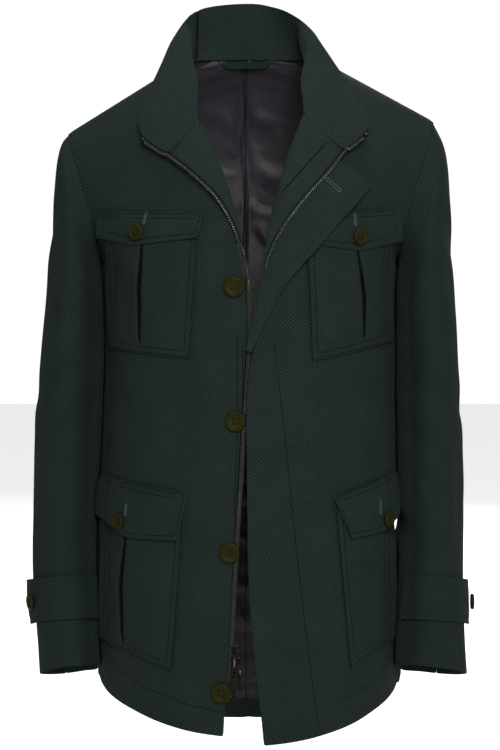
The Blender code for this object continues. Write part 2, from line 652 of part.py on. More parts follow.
def make_material(name):
    colour, roughness, metallic = COLOURS[name]
    material = bpy.data.materials.new(name)
    material.use_nodes = True
    shader = material.node_tree.nodes["Principled BSDF"]
    shader.inputs["Base Color"].default_value = (*colour, 1)
    shader.inputs["Roughness"].default_value = roughness
    shader.inputs["Metallic"].default_value = metallic
    material.diffuse_color = (*colour, 1)
    return material


MATERIALS = {name: make_material(name) for name in COLOURS}


def add_object(name, mesh, material, smooth=True):
    mesh.materials.append(MATERIALS[material])
    if smooth:
        mesh.shade_smooth()
        mesh.set_sharp_from_angle(angle=math.radians(40))
    thing = bpy.data.objects.new(name, mesh)
    COAT.objects.link(thing)
    return thing


def close_wall(name, material, outer, inner):
    """A closed solid between two grids of points, with its rims."""
    build = bmesh.new()
    grids = [[[build.verts.new(Vector(p)) for p in row] for row in grid] for grid in (outer, inner)]
    rows, cols = len(outer), len(outer[0])
    for grid in grids:
        for i in range(rows - 1):
            for j in range(cols - 1):
                build.faces.new((grid[i][j], grid[i][j + 1], grid[i + 1][j + 1], grid[i + 1][j]))
    ring = [(0, j) for j in range(cols)] + [(i, cols - 1) for i in range(1, rows)]
    ring += [(rows - 1, j) for j in range(cols - 2, -1, -1)] + [(i, 0) for i in range(rows - 2, 0, -1)]
    for a, b in zip(ring, ring[1:] + ring[:1]):
        build.faces.new((grids[0][a[0]][a[1]], grids[0][b[0]][b[1]],
                         grids[1][b[0]][b[1]], grids[1][a[0]][a[1]]))
    bmesh.ops.recalc_face_normals(build, faces=build.faces)
    mesh = bpy.data.meshes.new(name)
    build.to_mesh(mesh)
    build.free()
    return add_object(name, mesh, material)


def grid_normals(surface, us, vs, towards):
    """Directions out of a surface, all on the side of the given direction at its first point."""
    step = 1e-4
    us_span, vs_span = (min(us), max(us)), (min(vs), max(vs))
    normals = []
    for v in vs:
        row = []
        for u in us:
            ua, va = min(u, us_span[1] - step), min(v, vs_span[1] - step)
            n = np.cross(surface(ua + step, va) - surface(ua, va), surface(ua, va + step) - surface(ua, va))
            row.append(n / np.linalg.norm(n))
        normals.append(row)
    normals = np.array(normals)
    if np.dot(normals[0][0], towards) < 0:
        normals = -normals
    return normals


LEAST_WALL = 0.3 * MM


def room_inside(outer, normals, thickness):
    """How far the wall may reach at each point before it meets the other side of a rolled piece."""
    rows, cols = outer.shape[:2]
    flat = [Vector(p) for p in outer.reshape(-1, 3)]
    faces = [(i * cols + j, i * cols + j + 1, (i + 1) * cols + j + 1, (i + 1) * cols + j)
             for i in range(rows - 1) for j in range(cols - 1)]
    tree = BVHTree.FromPolygons(flat, faces)
    room = np.full((rows, cols), float(thickness))
    for i in range(rows - 1):
        for j in range(cols - 1):
            corners, ways = outer[i:i + 2, j:j + 2], normals[i:i + 2, j:j + 2]
            least = thickness
            for a in (0.0, 0.34, 0.67, 1.0):
                for b in (0.0, 0.34, 0.67, 1.0):
                    share = np.array(((1 - a) * (1 - b), (1 - a) * b, a * (1 - b), a * b))
                    p = (corners.reshape(4, 3) * share[:, None]).sum(0)
                    way = (ways.reshape(4, 3) * share[:, None]).sum(0)
                    way /= np.linalg.norm(way)
                    hit = tree.ray_cast(Vector(p - way * 0.3 * MM), Vector(-way), 3 * thickness)
                    if hit[0] is not None:
                        least = min(least, 0.42 * (hit[3] + 0.3 * MM))
            near = (slice(max(i - 1, 0), i + 3), slice(max(j - 1, 0), j + 3))
            room[near] = np.minimum(room[near], least)
    return np.maximum(room, LEAST_WALL)


def fitted_thickness(outer, normals, thickness):
    """Thickness at each point, less where a tight roll would fold the inner side over itself."""
    depth = room_inside(outer, normals, thickness)
    for _ in range(24):
        inner = outer - normals * depth[:, :, None]
        tight = np.zeros(depth.shape, bool)
        for axis in (0, 1):
            along_out, along_in = np.diff(outer, axis=axis), np.diff(inner, axis=axis)
            folded = (along_out * along_in).sum(2) < 0.3 * (along_out**2).sum(2)
            pick = [slice(None), slice(None)]
            for part in (slice(None, -1), slice(1, None)):
                pick[axis] = part
                tight[tuple(pick)] |= folded
        if not tight.any():
            break
        depth[tight] = np.maximum(depth[tight] * 0.85, LEAST_WALL)
    return depth[:, :, None]


def wall(name, material, surface, us, vs, thickness, towards, centre_seam=False):
    """Cloth wall whose visible side is surface(u, v), thickened away from that side. A piece with
    a centre seam keeps its first column square to the seam."""
    outer = np.array([[surface(u, v) for u in us] for v in vs])
    normals = grid_normals(surface, us, vs, np.array(towards, float))
    if centre_seam:
        normals[:, 0, 0] = 0
        normals[:, 0] /= np.linalg.norm(normals[:, 0], axis=1)[:, None]
    inner = outer - normals * fitted_thickness(outer, normals, thickness)
    return close_wall(name, material, outer, inner)


def spread(first, last, count, ease=0.0):
    """Numbers from first to last, closer together near the ends where ease is above 0."""
    even = np.linspace(0, 1, count)
    eased = (1 - np.cos(np.pi * even)) / 2
    return first + (last - first) * ((1 - ease) * even + ease * eased)


# ---------------------------------------------------------------- shell, lining and collar

BODY_SEAM_S = SEAM / 2 / (140 * MM)     # half a seam's gap, as a share of a panel's width
BODY_SEAM_T = SEAM / 2 / (34 * MM)      # the same along the shoulder seam, in rows


def make_fronts():
    for side, name in ((RIGHT, "front_right"), (LEFT, "front_left")):
        heights = spread(0, FRONT_TOP - BODY_SEAM_T, 26)
        across = spread(0, 1 - BODY_SEAM_S, 12)
        wall(name, "shell_cloth", lambda u, t, side=side: front_point(side, u, t),
             across, heights, SHELL, (0, -1, 0))


def make_backs():
    for side, name in ((RIGHT, "back_right"), (LEFT, "back_left")):
        heights = [*spread(0, NECK_ROW, 20), *spread(NECK_ROW + 0.25, BACK_TOP - BODY_SEAM_T, 6)]
        across = spread(BODY_SEAM_S, 1 - BODY_SEAM_S, 10)
        wall(name, "shell_cloth", lambda u, t, side=side: back_point(side, u, t),
             across, heights, SHELL, (0, 1, 0), centre_seam=True)


LINING_DEPTH = SHELL + 3.6 * MM
LINING_SEWN = 1.0 * MM          # how much closer it lies to the back along the neck seam
LINING_FOOT = 0.36              # row position of the lining's lower edge
LINING_TOP = NECK_ROW - 0.03
LINING_SIDE = 0.94
LINING_SEAM_X = -4 * MM         # the two halves meet beside the centre back


def lining_point(side, u, t):
    body = BACK[side]
    start = body.at_x(t, side * LINING_SEAM_X + 0.4 * MM)
    s = start + (LINING_SIDE - start) * u
    sewn = min(max((t - LINING_TOP + 1.5) / 1.5, 0), 1) ** 2
    return body.point(s, t) - body.normal(s, t) * (LINING_DEPTH - LINING_SEWN * sewn)


def make_linings():
    for side, name in ((RIGHT, "back_lining_right"), (LEFT, "back_lining_left")):
        wall(name, "lining_satin", lambda u, t, side=side: lining_point(side, u, t),
             spread(0, 1, 8), spread(LINING_FOOT, LINING_TOP, 17), LINING, (0, -1, 0), True)


COLLAR_GAP = SEAM / (4.5 * MM)          # half the seam between collar and facing, in rows


def make_facings():
    for side, name in ((RIGHT, "front_facing_right"), (LEFT, "front_facing_left")):
        wall(name, "facing_cloth", lambda w, t, side=side: facing_point(side, w, t),
             spread(0, 1, 12), spread(COLLAR_GAP, FACING_LAST, 13), FACING, (0, 1, 0))


def make_fly():
    wall("fly_flap_left", "facing_cloth", fly_point, spread(0, 1, 9),
         spread(0, len(LEFT_FLY) - 1, 23), FLY, (0, -1, 0))


def collar_rows():
    """Stations of the collar, with one on each corner of its front."""
    front = [*spread(COLLAR_GAP, COLLAR_CORNER, 6), *spread(COLLAR_CORNER, 9, 9)[1:]]
    back = spread(9, COLLAR_LAST - 9, 17)[1:-1]
    return [*front, *back, *[COLLAR_LAST - t for t in reversed(front)]]


def make_collar():
    wall("collar", "facing_cloth", lambda w, t: collar_point(t, w),
         spread(0, 1, 11), collar_rows(), COLLAR, (0.2, 0.2, -1))


def make_sleeves():
    names = {RIGHT: "right", LEFT: "left"}
    gap = math.degrees(SEAM / (55 * MM))
    pieces = (("upper_sleeve_", SEAM_BACK - 360 + gap, SEAM_FRONT, 15),
              ("under_sleeve_", SEAM_FRONT + gap, SEAM_BACK, 9))
    for side in (RIGHT, LEFT):
        for label, first, last, count in pieces:
            angles = spread(first, last, count)
            rows = np.concatenate([[0.0, 0.5], spread(1.0, SLEEVE_RINGS, 17)])
            outer, inner = [], []
            for t in rows:
                ring, wall_ring = [], []
                for angle in angles:
                    point, n = sleeve_point(side, angle, t), sleeve_normal(side, angle, t)
                    if t == 0:
                        below = sleeve_point(side, angle, 0.1) - point
                        point = point + below / np.linalg.norm(below) * SEAM
                        share = min(max(math.cos(math.radians(angle)) * 1.5, 0), 1)
                        n = n * (1 - share) + at_armhole(side, angle, 2) * share
                        n /= np.linalg.norm(n)
                    ring.append(point)
                    wall_ring.append(point - n * SHELL)
                outer.append(ring)
                inner.append(wall_ring)
            close_wall(label + names[side], "shell_cloth", outer, inner)


# ---------------------------------------------------------------- pockets, flaps, straps

def quad(xa, za, xb, zb, xc, zc, xd, zd, u, v):
    """Distance out and height inside four corners: u from outer to inner, v down."""
    top = ((1 - u) * xa + u * xb, (1 - u) * za + u * zb)
    low = ((1 - u) * xc + u * xd, (1 - u) * zc + u * zd)
    return ((1 - v) * top[0] + v * low[0]) * MM, ((1 - v) * top[1] + v * low[1]) * MM


def lie_on_front(side, x, z, lift):
    """Point over a front, with the front's own stand-off."""
    body = FRONT[side]
    s, t = body.find(x, z)
    start = front_start(side, t)
    u = min(max((s - start) / (1 - start), 0), 1)
    n = body.normal(s, t)
    return body.point(s, t) + n * (lift + front_proud(side, z) * (1 - u) ** 2), n


def panel_tree(name):
    """The facets of a finished panel, to lay other pieces on."""
    mesh = bpy.data.objects[name].data
    return BVHTree.FromPolygons([v.co for v in mesh.vertices], [p.vertices for p in mesh.polygons])


def clear_panel(tree, under, over, ways, clearance):
    """Move both sides of a piece out until its underside keeps clear of the panel's facets."""
    under, over, ways = (np.array(grid) for grid in (under, over, ways))
    rows, cols = under.shape[:2]
    for _ in range(8):
        raise_by = np.zeros((rows, cols))
        for i in range(rows - 1):
            for j in range(cols - 1):
                corners = under[i:i + 2, j:j + 2]
                need = 0.0
                for a in (0.0, 0.25, 0.5, 0.75, 1.0):
                    for b in (0.0, 0.25, 0.5, 0.75, 1.0):
                        p = ((corners[0, 0] * (1 - b) + corners[0, 1] * b) * (1 - a)
                             + (corners[1, 0] * (1 - b) + corners[1, 1] * b) * a)
                        way = ways[i, j]
                        hit = tree.ray_cast(Vector(p + way * 0.02), Vector(-way), 0.03)
                        if hit[0] is not None:
                            need = max(need, clearance + 0.02 - hit[3])
                raise_by[i:i + 2, j:j + 2] = np.maximum(raise_by[i:i + 2, j:j + 2], need)
        if raise_by.max() < 1e-6:
            break
        under += ways * raise_by[..., None]
        over += ways * raise_by[..., None]
    return under, over


def make_pockets():
    for name, (side, *corners, pleat) in POCKETS.items():
        width = abs(corners[0] - corners[2]) * MM * 1.15
        half = PLEAT_WIDTH / 2 / width
        us = sorted({*spread(0, pleat - half, 4), pleat, *spread(pleat + half, 1, 5)})
        vs = spread(0, 1, 9)
        outer, inner, ways = [], [], []
        for v in vs:
            top_row, low_row, way_row = [], [], []
            for u in us:
                x, z = quad(*corners, u, v)
                groove = max(0.0, 1 - abs(u - pleat) / half) * math.sin(math.pi * min(v * 1.1, 1)) ** 0.5
                foot, n = lie_on_front(side, x, z, POCKET_LIFT)
                top_row.append(foot + n * (POCKET_WALL - PLEAT_DEPTH * groove))
                low_row.append(foot)
                way_row.append(n)
            outer.append(top_row)
            inner.append(low_row)
            ways.append(way_row)
        tree = panel_tree("front_right" if side == RIGHT else "front_left")
        inner, outer = clear_panel(tree, inner, outer, ways, 0.3 * MM)
        close_wall(name, "shell_cloth", outer, inner)


def flap_place(name, u, v):
    """Distance out, height and lift of a point of a flap: v from its seam to its free edge."""
    side, xa, za, xb, zb, xc, zc, xd, zd, point, drop, lift = FLAPS[name]
    x, z = quad(xa, za, xb, zb, xc, zc, xd, zd, u, v)
    z -= drop * MM * v * min(u / point, (1 - u) / (1 - point))
    bulge = 0.8 * MM * math.sin(math.pi * v)
    seat = FLAP_WALL + 0.8 * MM                 # sewn down along its upper edge
    base = POCKET_LIFT + POCKET_WALL + FLAP_WALL + 0.5 * MM
    return side, x, z, seat + (base - seat) * min(3 * v, 1) + bulge + (lift * MM - 2.5 * MM) * v * v


def make_flaps():
    for name, row in FLAPS.items():
        point = row[9]
        us = sorted({*spread(0, point, 4), *spread(point, 1, 5)})
        outer, inner = [], []
        for v in spread(0, 1, 4):
            top_row, low_row = [], []
            for u in us:
                side, x, z, lift = flap_place(name, u, v)
                top, n = lie_on_front(side, x, z, lift)
                top_row.append(top)
                low_row.append(top - n * FLAP_WALL)
            outer.append(top_row)
            inner.append(low_row)
        close_wall(name, "shell_cloth", outer, inner)


def strap_place(name, u, v):
    """Outside point of a cuff strap and the direction out of it; u = 1 is its free tip."""
    side, start, end, z_top, z_bottom, tip_lift, _, _ = STRAPS[name]
    angle = start + (end - start) * u
    corner = max(0.0, (u - 0.93) / 0.07)
    z = z_top + (z_bottom - z_top) * v + corner * (9 * v * v - 2 * (1 - v))
    t = sleeve_height(side, 0.0, z * MM)
    n = sleeve_normal(side, angle, t)
    lift = STRAP_WALL + 0.5 * MM + tip_lift * MM * max(0.0, (u - 0.55) / 0.45) ** 2
    return sleeve_point(side, angle, t) + n * lift, n


def make_straps():
    for name in STRAPS:
        us = [*spread(0, 0.93, 12), 0.965, 1.0]
        outer, inner = [], []
        for v in spread(0, 1, 3):
            pairs = [strap_place(name, u, v) for u in us]
            outer.append([p for p, _ in pairs])
            inner.append([p - n * STRAP_WALL for p, n in pairs])
        close_wall(name, "shell_cloth", outer, inner)


# ---------------------------------------------------------------- buttons

BUTTON_PROFILE = (      # share of the radius and of the thickness, from the back's middle outwards
    (0.0, 0.0), (0.80, 0.0), (1.0, 0.45), (0.93, 0.95), (0.80, 1.0), (0.66, 0.72), (0.0, 0.66),
)


def button_mesh(name, across, steps):
    """Turned button with a raised rim; its back lies at z = 0."""
    build = bmesh.new()
    rings = []
    for r, h in BUTTON_PROFILE:
        if r == 0:
            rings.append([build.verts.new((0, 0, h * BUTTON_THICK))])
            continue
        rings.append([build.verts.new((r * across / 2 * math.cos(2 * math.pi * k / steps),
                                       r * across / 2 * math.sin(2 * math.pi * k / steps),
                                       h * BUTTON_THICK)) for k in range(steps)])
    for low, high in zip(rings, rings[1:]):
        for k in range(steps):
            m = (k + 1) % steps
            if len(low) == 1:
                build.faces.new((low[0], high[k], high[m]))
            elif len(high) == 1:
                build.faces.new((low[k], low[m], high[0]))
            else:
                build.faces.new((low[k], low[m], high[m], high[k]))
    bmesh.ops.recalc_face_normals(build, faces=build.faces)
    mesh = bpy.data.meshes.new(name)
    build.to_mesh(mesh)
    build.free()
    return mesh


def facing_frame(point, n):
    """Placement whose local Z points along n and whose local Y points up."""
    z = Vector(n).normalized()
    x = Vector((0, 0, 1)).cross(z).normalized()
    y = z.cross(x)
    turn = Matrix((x, y, z)).transposed().to_4x4()
    return Matrix.Translation(Vector(point)) @ turn


def place_button(name, across, point, n, steps=12):
    thing = add_object(name, button_mesh(name, across, steps), "button_horn")
    thing.matrix_world = facing_frame(point, n)
    return thing


def seat_button(panel, across, point, n):
    """Place for the middle of a button's back, just clear of the facets of what carries it."""
    tree = panel_tree(panel)
    x = np.cross((0, 0, 1), n)
    x /= np.linalg.norm(x)
    y = np.cross(n, x)
    highest = -1.0
    for radius in (0.0, 0.2, 0.4):
        for k in range(12):
            turn = math.pi * k / 6
            p = point + (x * math.cos(turn) + y * math.sin(turn)) * radius * across
            hit = tree.ray_cast(Vector(p + n * 0.02), Vector(-n), 0.04)
            if hit[0] is not None:
                highest = max(highest, 0.02 - hit[3])
    return point + n * (highest + SEAM)


def make_buttons():
    for number, (x, z) in enumerate(FRONT_BUTTONS, 1):
        point, n = lie_on_front(RIGHT, x * MM, z * MM, 0.0)
        point = seat_button("front_right", FRONT_BUTTON, point, n)
        place_button(f"front_button_{number}", FRONT_BUTTON, point, n)
    for flap, (x, z) in SMALL_BUTTONS.items():
        side, *_ = FLAPS[flap]
        across, share = flap_share(flap, x, z)
        _, _, _, lift = flap_place(flap, across, share)
        point, n = lie_on_front(side, x * MM, z * MM, lift)
        point = seat_button(flap, SMALL_BUTTON, point, n)
        place_button(flap.replace("flap", "button"), SMALL_BUTTON, point, n)
    for strap, (side, start, end, z_top, z_bottom, _, angle, z) in STRAPS.items():
        point, n = strap_place(strap, (angle - start) / (end - start), (z - z_top) / (z_bottom - z_top))
        point = seat_button(strap, SMALL_BUTTON, point, n)
        place_button(strap.replace("strap", "button"), SMALL_BUTTON, point, n)


def flap_share(name, x, z):
    """Shares across and down a flap of the point at a distance out and a height."""
    best = min(((abs(flap_place(name, u, v)[1] / MM - x) + abs(flap_place(name, u, v)[2] / MM - z), u, v)
                for u in spread(0, 1, 41) for v in spread(0, 1, 41)))
    return best[1], best[2]


# ---------------------------------------------------------------- hanger tab and zip

HANGER_DEPTH = 70.8 * MM         # depth of the tab's back on the centre line
HANGER_BOW = 9.0 * MM            # how far it comes forward at its ends
HANGER_TOP = 29.8 * MM           # just under the collar's lower edge


def make_hanger():
    """Trapezoid tab under the collar, lying on the lining."""
    top_half, low_half, drop, middle = 35 * MM, 24 * MM, 9.5 * MM, -4 * MM
    outer, inner = [], []
    for v in (0.0, 0.5, 1.0):
        row_out, row_in = [], []
        for u in spread(-1, 1, 7):
            x = (top_half * (1 - v) + low_half * v) * u + middle
            bow = (x / (37 * MM)) ** 2
            y, z = HANGER_DEPTH - HANGER_BOW * bow, HANGER_TOP - 1.3 * MM * bow - drop * v
            row_in.append(np.array((x, y, z)))
            row_out.append(np.array((x, y - SHELL, z)))
        outer.append(row_out)
        inner.append(row_in)
    close_wall("hanger_tab", "facing_cloth", outer, inner)


def ribbon(name, material, path, outward, width, thickness):
    """Flat strip along a path: it reaches from the path along the outward directions."""
    outer, inner = [], []
    for k, (point, out) in enumerate(zip(path, outward)):
        out = out / np.linalg.norm(out)
        way = path[min(k + 1, len(path) - 1)] - path[max(k - 1, 0)]
        n = np.cross(out, way)
        n /= np.linalg.norm(n)
        ends = [point + out * TAPE_GAP, point + out * (TAPE_GAP + width[k])]
        outer.append([p + n * thickness / 2 for p in ends])
        inner.append([p - n * thickness / 2 for p in ends])
    return close_wall(name, material, outer, inner)


def edge_path(side):
    """Middle of the cloth edge that carries the zip, from the collar's corner down the facing,
    and the direction in which the tape leaves it."""
    step = 1e-3
    path, outward = [], []
    for near in spread(COLLAR_CORNER - 0.12, 0.2, 6):
        t = near if side == RIGHT else COLLAR_LAST - near
        point = collar_point(t, 1.0)
        out = point - collar_point(t, 1 - step)
        up = (collar_point(t + step, 1.0) - point) * (1 if side == RIGHT else -1)
        path.append(middle_of_wall(point, out, up, COLLAR))
        outward.append(across_edge(out, up))
    for t in spread(0.1, FACING_LAST, 14):
        point = facing_point(side, 1.0, t)
        out = point - facing_point(side, 1 - step, t)
        up = facing_point(side, 1.0, t) - facing_point(side, 1.0, t - step)
        path.append(middle_of_wall(point, out, up, FACING))
        outward.append(across_edge(out, up))
    return path, outward


def across_edge(out, up):
    """The part of a direction that is square to the edge."""
    up = up / np.linalg.norm(up)
    out = out - up * np.dot(out, up)
    return out / np.linalg.norm(out)


def middle_of_wall(point, out, up, thickness):
    n = np.cross(out, up)
    n /= np.linalg.norm(n)
    return point - n * math.copysign(thickness / 2, -n[1])


def make_zip():
    path, outward = edge_path(RIGHT)
    width = [TURNED_SHOWN] * len(path)
    for z, clear, lift, turn in TAPE_TURN:
        point, _ = FRONT[RIGHT].on(edge_out(RIGHT, z * MM) - clear * MM, z * MM, lift * MM)
        path.append(point)
        outward.append(np.array((math.cos(math.radians(turn)), math.sin(math.radians(turn)), 0.0)))
        width.append(TURNED_SHOWN + (TAPE_SHOWN - TURNED_SHOWN) * (turn + 100) / 100)
    for z in spread(-236 * MM, ZIP_FOOT, 14):
        point, _ = FRONT[RIGHT].on(edge_out(RIGHT, z), z, -SHELL / 2)
        path.append(point)
        outward.append(np.array((1.0, 0.0, 0.0)))
        width.append(TAPE_SHOWN)
    ribbon("zip_tape_right", "zip_tape", path, outward, width, TAPE)
    path, outward = edge_path(LEFT)
    ribbon("zip_tape_left", "zip_tape", path, outward, [TURNED_SHOWN] * len(path), TAPE)
    for side, name in ((RIGHT, "top_stop_right"), (LEFT, "top_stop_left")):
        path, outward = edge_path(side)
        rise = path[0] - path[1]
        rise /= np.linalg.norm(rise)
        out = outward[0] / np.linalg.norm(outward[0])
        block(name, path[0] + rise * 2.1 * MM + out * 2.0 * MM, out, rise,
              (3.6 * MM, 3.2 * MM, 2.8 * MM))


def block(name, centre, across, length, size, material="zip_metal"):
    """Small bevelled metal block with its own directions."""
    x = Vector(across).normalized()
    y = (Vector(length) - x * Vector(length).dot(x)).normalized()
    z = x.cross(y)
    build = bmesh.new()
    bmesh.ops.create_cube(build, size=1.0)
    bmesh.ops.scale(build, vec=Vector(size), verts=build.verts)
    mesh = bpy.data.meshes.new(name)
    build.to_mesh(mesh)
    build.free()
    thing = add_object(name, mesh, material, smooth=False)
    thing.matrix_world = Matrix.Translation(Vector(centre)) @ Matrix((x, y, z)).transposed().to_4x4()
    bevel = thing.modifiers.new("edges", "BEVEL")
    bevel.width = min(size) * 0.22
    bevel.segments = 1
    return thing


def solid_of_boxes(name, boxes, material="zip_metal"):
    """One closed solid, the union of boxes given as (lowest corner, highest corner)."""
    parts = []
    for low, high in boxes:
        build = bmesh.new()
        bmesh.ops.create_cube(build, size=1.0)
        low, high = Vector(low), Vector(high)
        bmesh.ops.scale(build, vec=high - low, verts=build.verts)
        bmesh.ops.translate(build, vec=(high + low) / 2, verts=build.verts)
        mesh = bpy.data.meshes.new(name)
        build.to_mesh(mesh)
        build.free()
        parts.append(mesh)
    thing = add_object(name, parts[0], material, smooth=False)
    for number, mesh in enumerate(parts[1:], 1):
        cutter = bpy.data.objects.new(f"{name}_joined_{number}", mesh)
        TOOLS.objects.link(cutter)
        cutter.hide_render = True
        cutter.display_type = "WIRE"
        join = thing.modifiers.new(f"join_{number}", "BOOLEAN")
        join.operation = "UNION"
        join.object = cutter
    return thing


TOOLS = bpy.data.collections.new("joined_pieces")
bpy.context.scene.collection.children.link(TOOLS)


def tape_place(z):
    """Middle of the right tape's free edge at a height."""
    point, _ = FRONT[RIGHT].on(edge_out(RIGHT, z), z, -SHELL / 2)
    return point[0] + TAPE_GAP + TAPE_SHOWN, point[1]


def make_sliders():
    """Two sliders that clasp the tape's free edge, each with a bridge that holds its pull tab."""
    slot = TAPE / 2 + 0.9 * MM
    for number, name in enumerate(("upper", "lower")):
        z = SLIDER_Z[number]
        x_free, y_mid = tape_place(z)
        x_low, x_high = x_free - SLIDER_BACK, x_free + SLIDER_AHEAD[number]
        z_low, z_high = z - SLIDER_LONG / 2, z + SLIDER_LONG / 2
        lug_x = x_free + LUG_AHEAD[number]
        face = y_mid - SLIDER_THICK / 2
        pin_y, pin_z = face - 1.5 * MM, z - 1.2 * MM
        left, right = lug_x - 0.8 * MM, lug_x + 0.8 * MM
        boxes = [
            ((x_low, face, z_low), (x_high, y_mid - slot, z_high)),
            ((x_low, y_mid + slot, z_low), (x_high, y_mid + SLIDER_THICK / 2, z_high)),
            ((x_free + 1.3 * MM, y_mid - slot - 0.2 * MM, z_low + 1.5 * MM),
             (x_free + 7.0 * MM, y_mid + slot + 0.2 * MM, z_high - 1.5 * MM)),
            ((left, pin_y - 1.9 * MM, pin_z - 2.4 * MM), (right, pin_y - 1.1 * MM, pin_z + 2.4 * MM)),
            ((left, pin_y - 1.5 * MM, pin_z + 1.3 * MM), (right, face + 0.3 * MM, pin_z + 2.4 * MM)),
            ((left, pin_y - 1.5 * MM, pin_z - 2.4 * MM), (right, face + 0.3 * MM, pin_z - 1.3 * MM)),
        ]
        solid_of_boxes(f"slider_{name}", boxes)
        make_pull(f"pull_tab_{name}", number, Vector((lug_x, pin_y, pin_z)))


def make_pull(name, number, pivot):
    """Pull tab whose cross bar lies in its slider's bridge; it swings about that bar."""
    half, thick = PULL_WIDE[number] / 2, PULL_THICK / 2
    gap, bar = 1.15 * MM, 1.0 * MM
    boxes = [
        ((-gap - bar, -thick, -9.0 * MM), (-gap, thick, 0.8 * MM)),
        ((gap, -thick, -9.0 * MM), (gap + bar, thick, 0.8 * MM)),
        ((-gap - bar + 0.2 * MM, -0.55 * MM, -0.55 * MM), (gap + bar - 0.2 * MM, 0.55 * MM, 0.55 * MM)),
        ((-half, -thick * 0.9, -PULL_LONG[number]), (half, thick * 0.9, -8.0 * MM)),
    ]
    thing = solid_of_boxes(name, boxes)
    thing.location = pivot
    for modifier in thing.modifiers:
        modifier.object.location = pivot


def make_box():
    """Retainer box at the foot of the right tape."""
    z = -678 * MM
    x_free, y_mid = tape_place(z)
    solid_of_boxes("zip_box", [((x_free + 0.9 * MM, y_mid - 1.7 * MM, z - 9 * MM),
                                (x_free + 4.6 * MM, y_mid + 1.7 * MM, z + 9 * MM))])


make_fronts()
make_backs()
make_linings()
make_facings()
make_fly()
make_collar()
make_sleeves()
make_pockets()
make_flaps()
make_straps()
make_buttons()
make_hanger()
make_zip()
make_sliders()
make_box()
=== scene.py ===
"""Field jacket in two-colour birdseye wool: the visible pieces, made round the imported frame."""

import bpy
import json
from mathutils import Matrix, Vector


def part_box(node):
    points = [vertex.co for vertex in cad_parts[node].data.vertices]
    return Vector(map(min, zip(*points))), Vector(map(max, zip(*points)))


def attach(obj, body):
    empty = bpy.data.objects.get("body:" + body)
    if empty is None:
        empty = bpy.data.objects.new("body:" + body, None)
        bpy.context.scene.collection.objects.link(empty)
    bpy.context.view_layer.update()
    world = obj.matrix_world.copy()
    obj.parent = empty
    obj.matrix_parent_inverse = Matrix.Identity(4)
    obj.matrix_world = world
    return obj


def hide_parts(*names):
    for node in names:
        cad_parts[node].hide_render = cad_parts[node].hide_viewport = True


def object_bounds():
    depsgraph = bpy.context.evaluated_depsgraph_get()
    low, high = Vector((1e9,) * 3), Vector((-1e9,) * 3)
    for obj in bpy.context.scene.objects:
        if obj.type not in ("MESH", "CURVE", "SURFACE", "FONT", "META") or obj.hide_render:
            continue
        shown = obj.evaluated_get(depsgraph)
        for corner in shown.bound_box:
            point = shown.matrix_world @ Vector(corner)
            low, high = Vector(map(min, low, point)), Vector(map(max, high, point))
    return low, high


bl_info = {
    "name": "Field jacket",
    "version": (1, 0, 0),
    "blender": (4, 5, 0),
    "location": "3D View > Sidebar > Jacket",
    "description": "Makes the cloth, trims and stage of a hollow field jacket round its frame",
    "category": "Object",
}

import json
import math

import bmesh
import bpy
import numpy as np
from bpy.props import FloatProperty, FloatVectorProperty, PointerProperty
from mathutils import Vector
from mathutils.bvhtree import BVHTree

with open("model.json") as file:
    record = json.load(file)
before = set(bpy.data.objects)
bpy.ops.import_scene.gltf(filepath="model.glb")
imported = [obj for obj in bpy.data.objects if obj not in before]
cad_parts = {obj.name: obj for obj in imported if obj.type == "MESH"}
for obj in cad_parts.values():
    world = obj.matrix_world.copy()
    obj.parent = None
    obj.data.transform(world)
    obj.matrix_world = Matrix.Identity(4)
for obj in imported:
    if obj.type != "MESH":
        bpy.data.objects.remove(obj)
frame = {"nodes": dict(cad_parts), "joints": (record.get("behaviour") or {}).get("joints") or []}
CAD_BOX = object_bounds()
NODES = frame["nodes"]

MM = 0.001
RIGHT, LEFT = -1, 1             # the wearer's right lies at -X
SIDES = (("right", RIGHT), ("left", LEFT))

# ---------------------------------------------------------------- folds

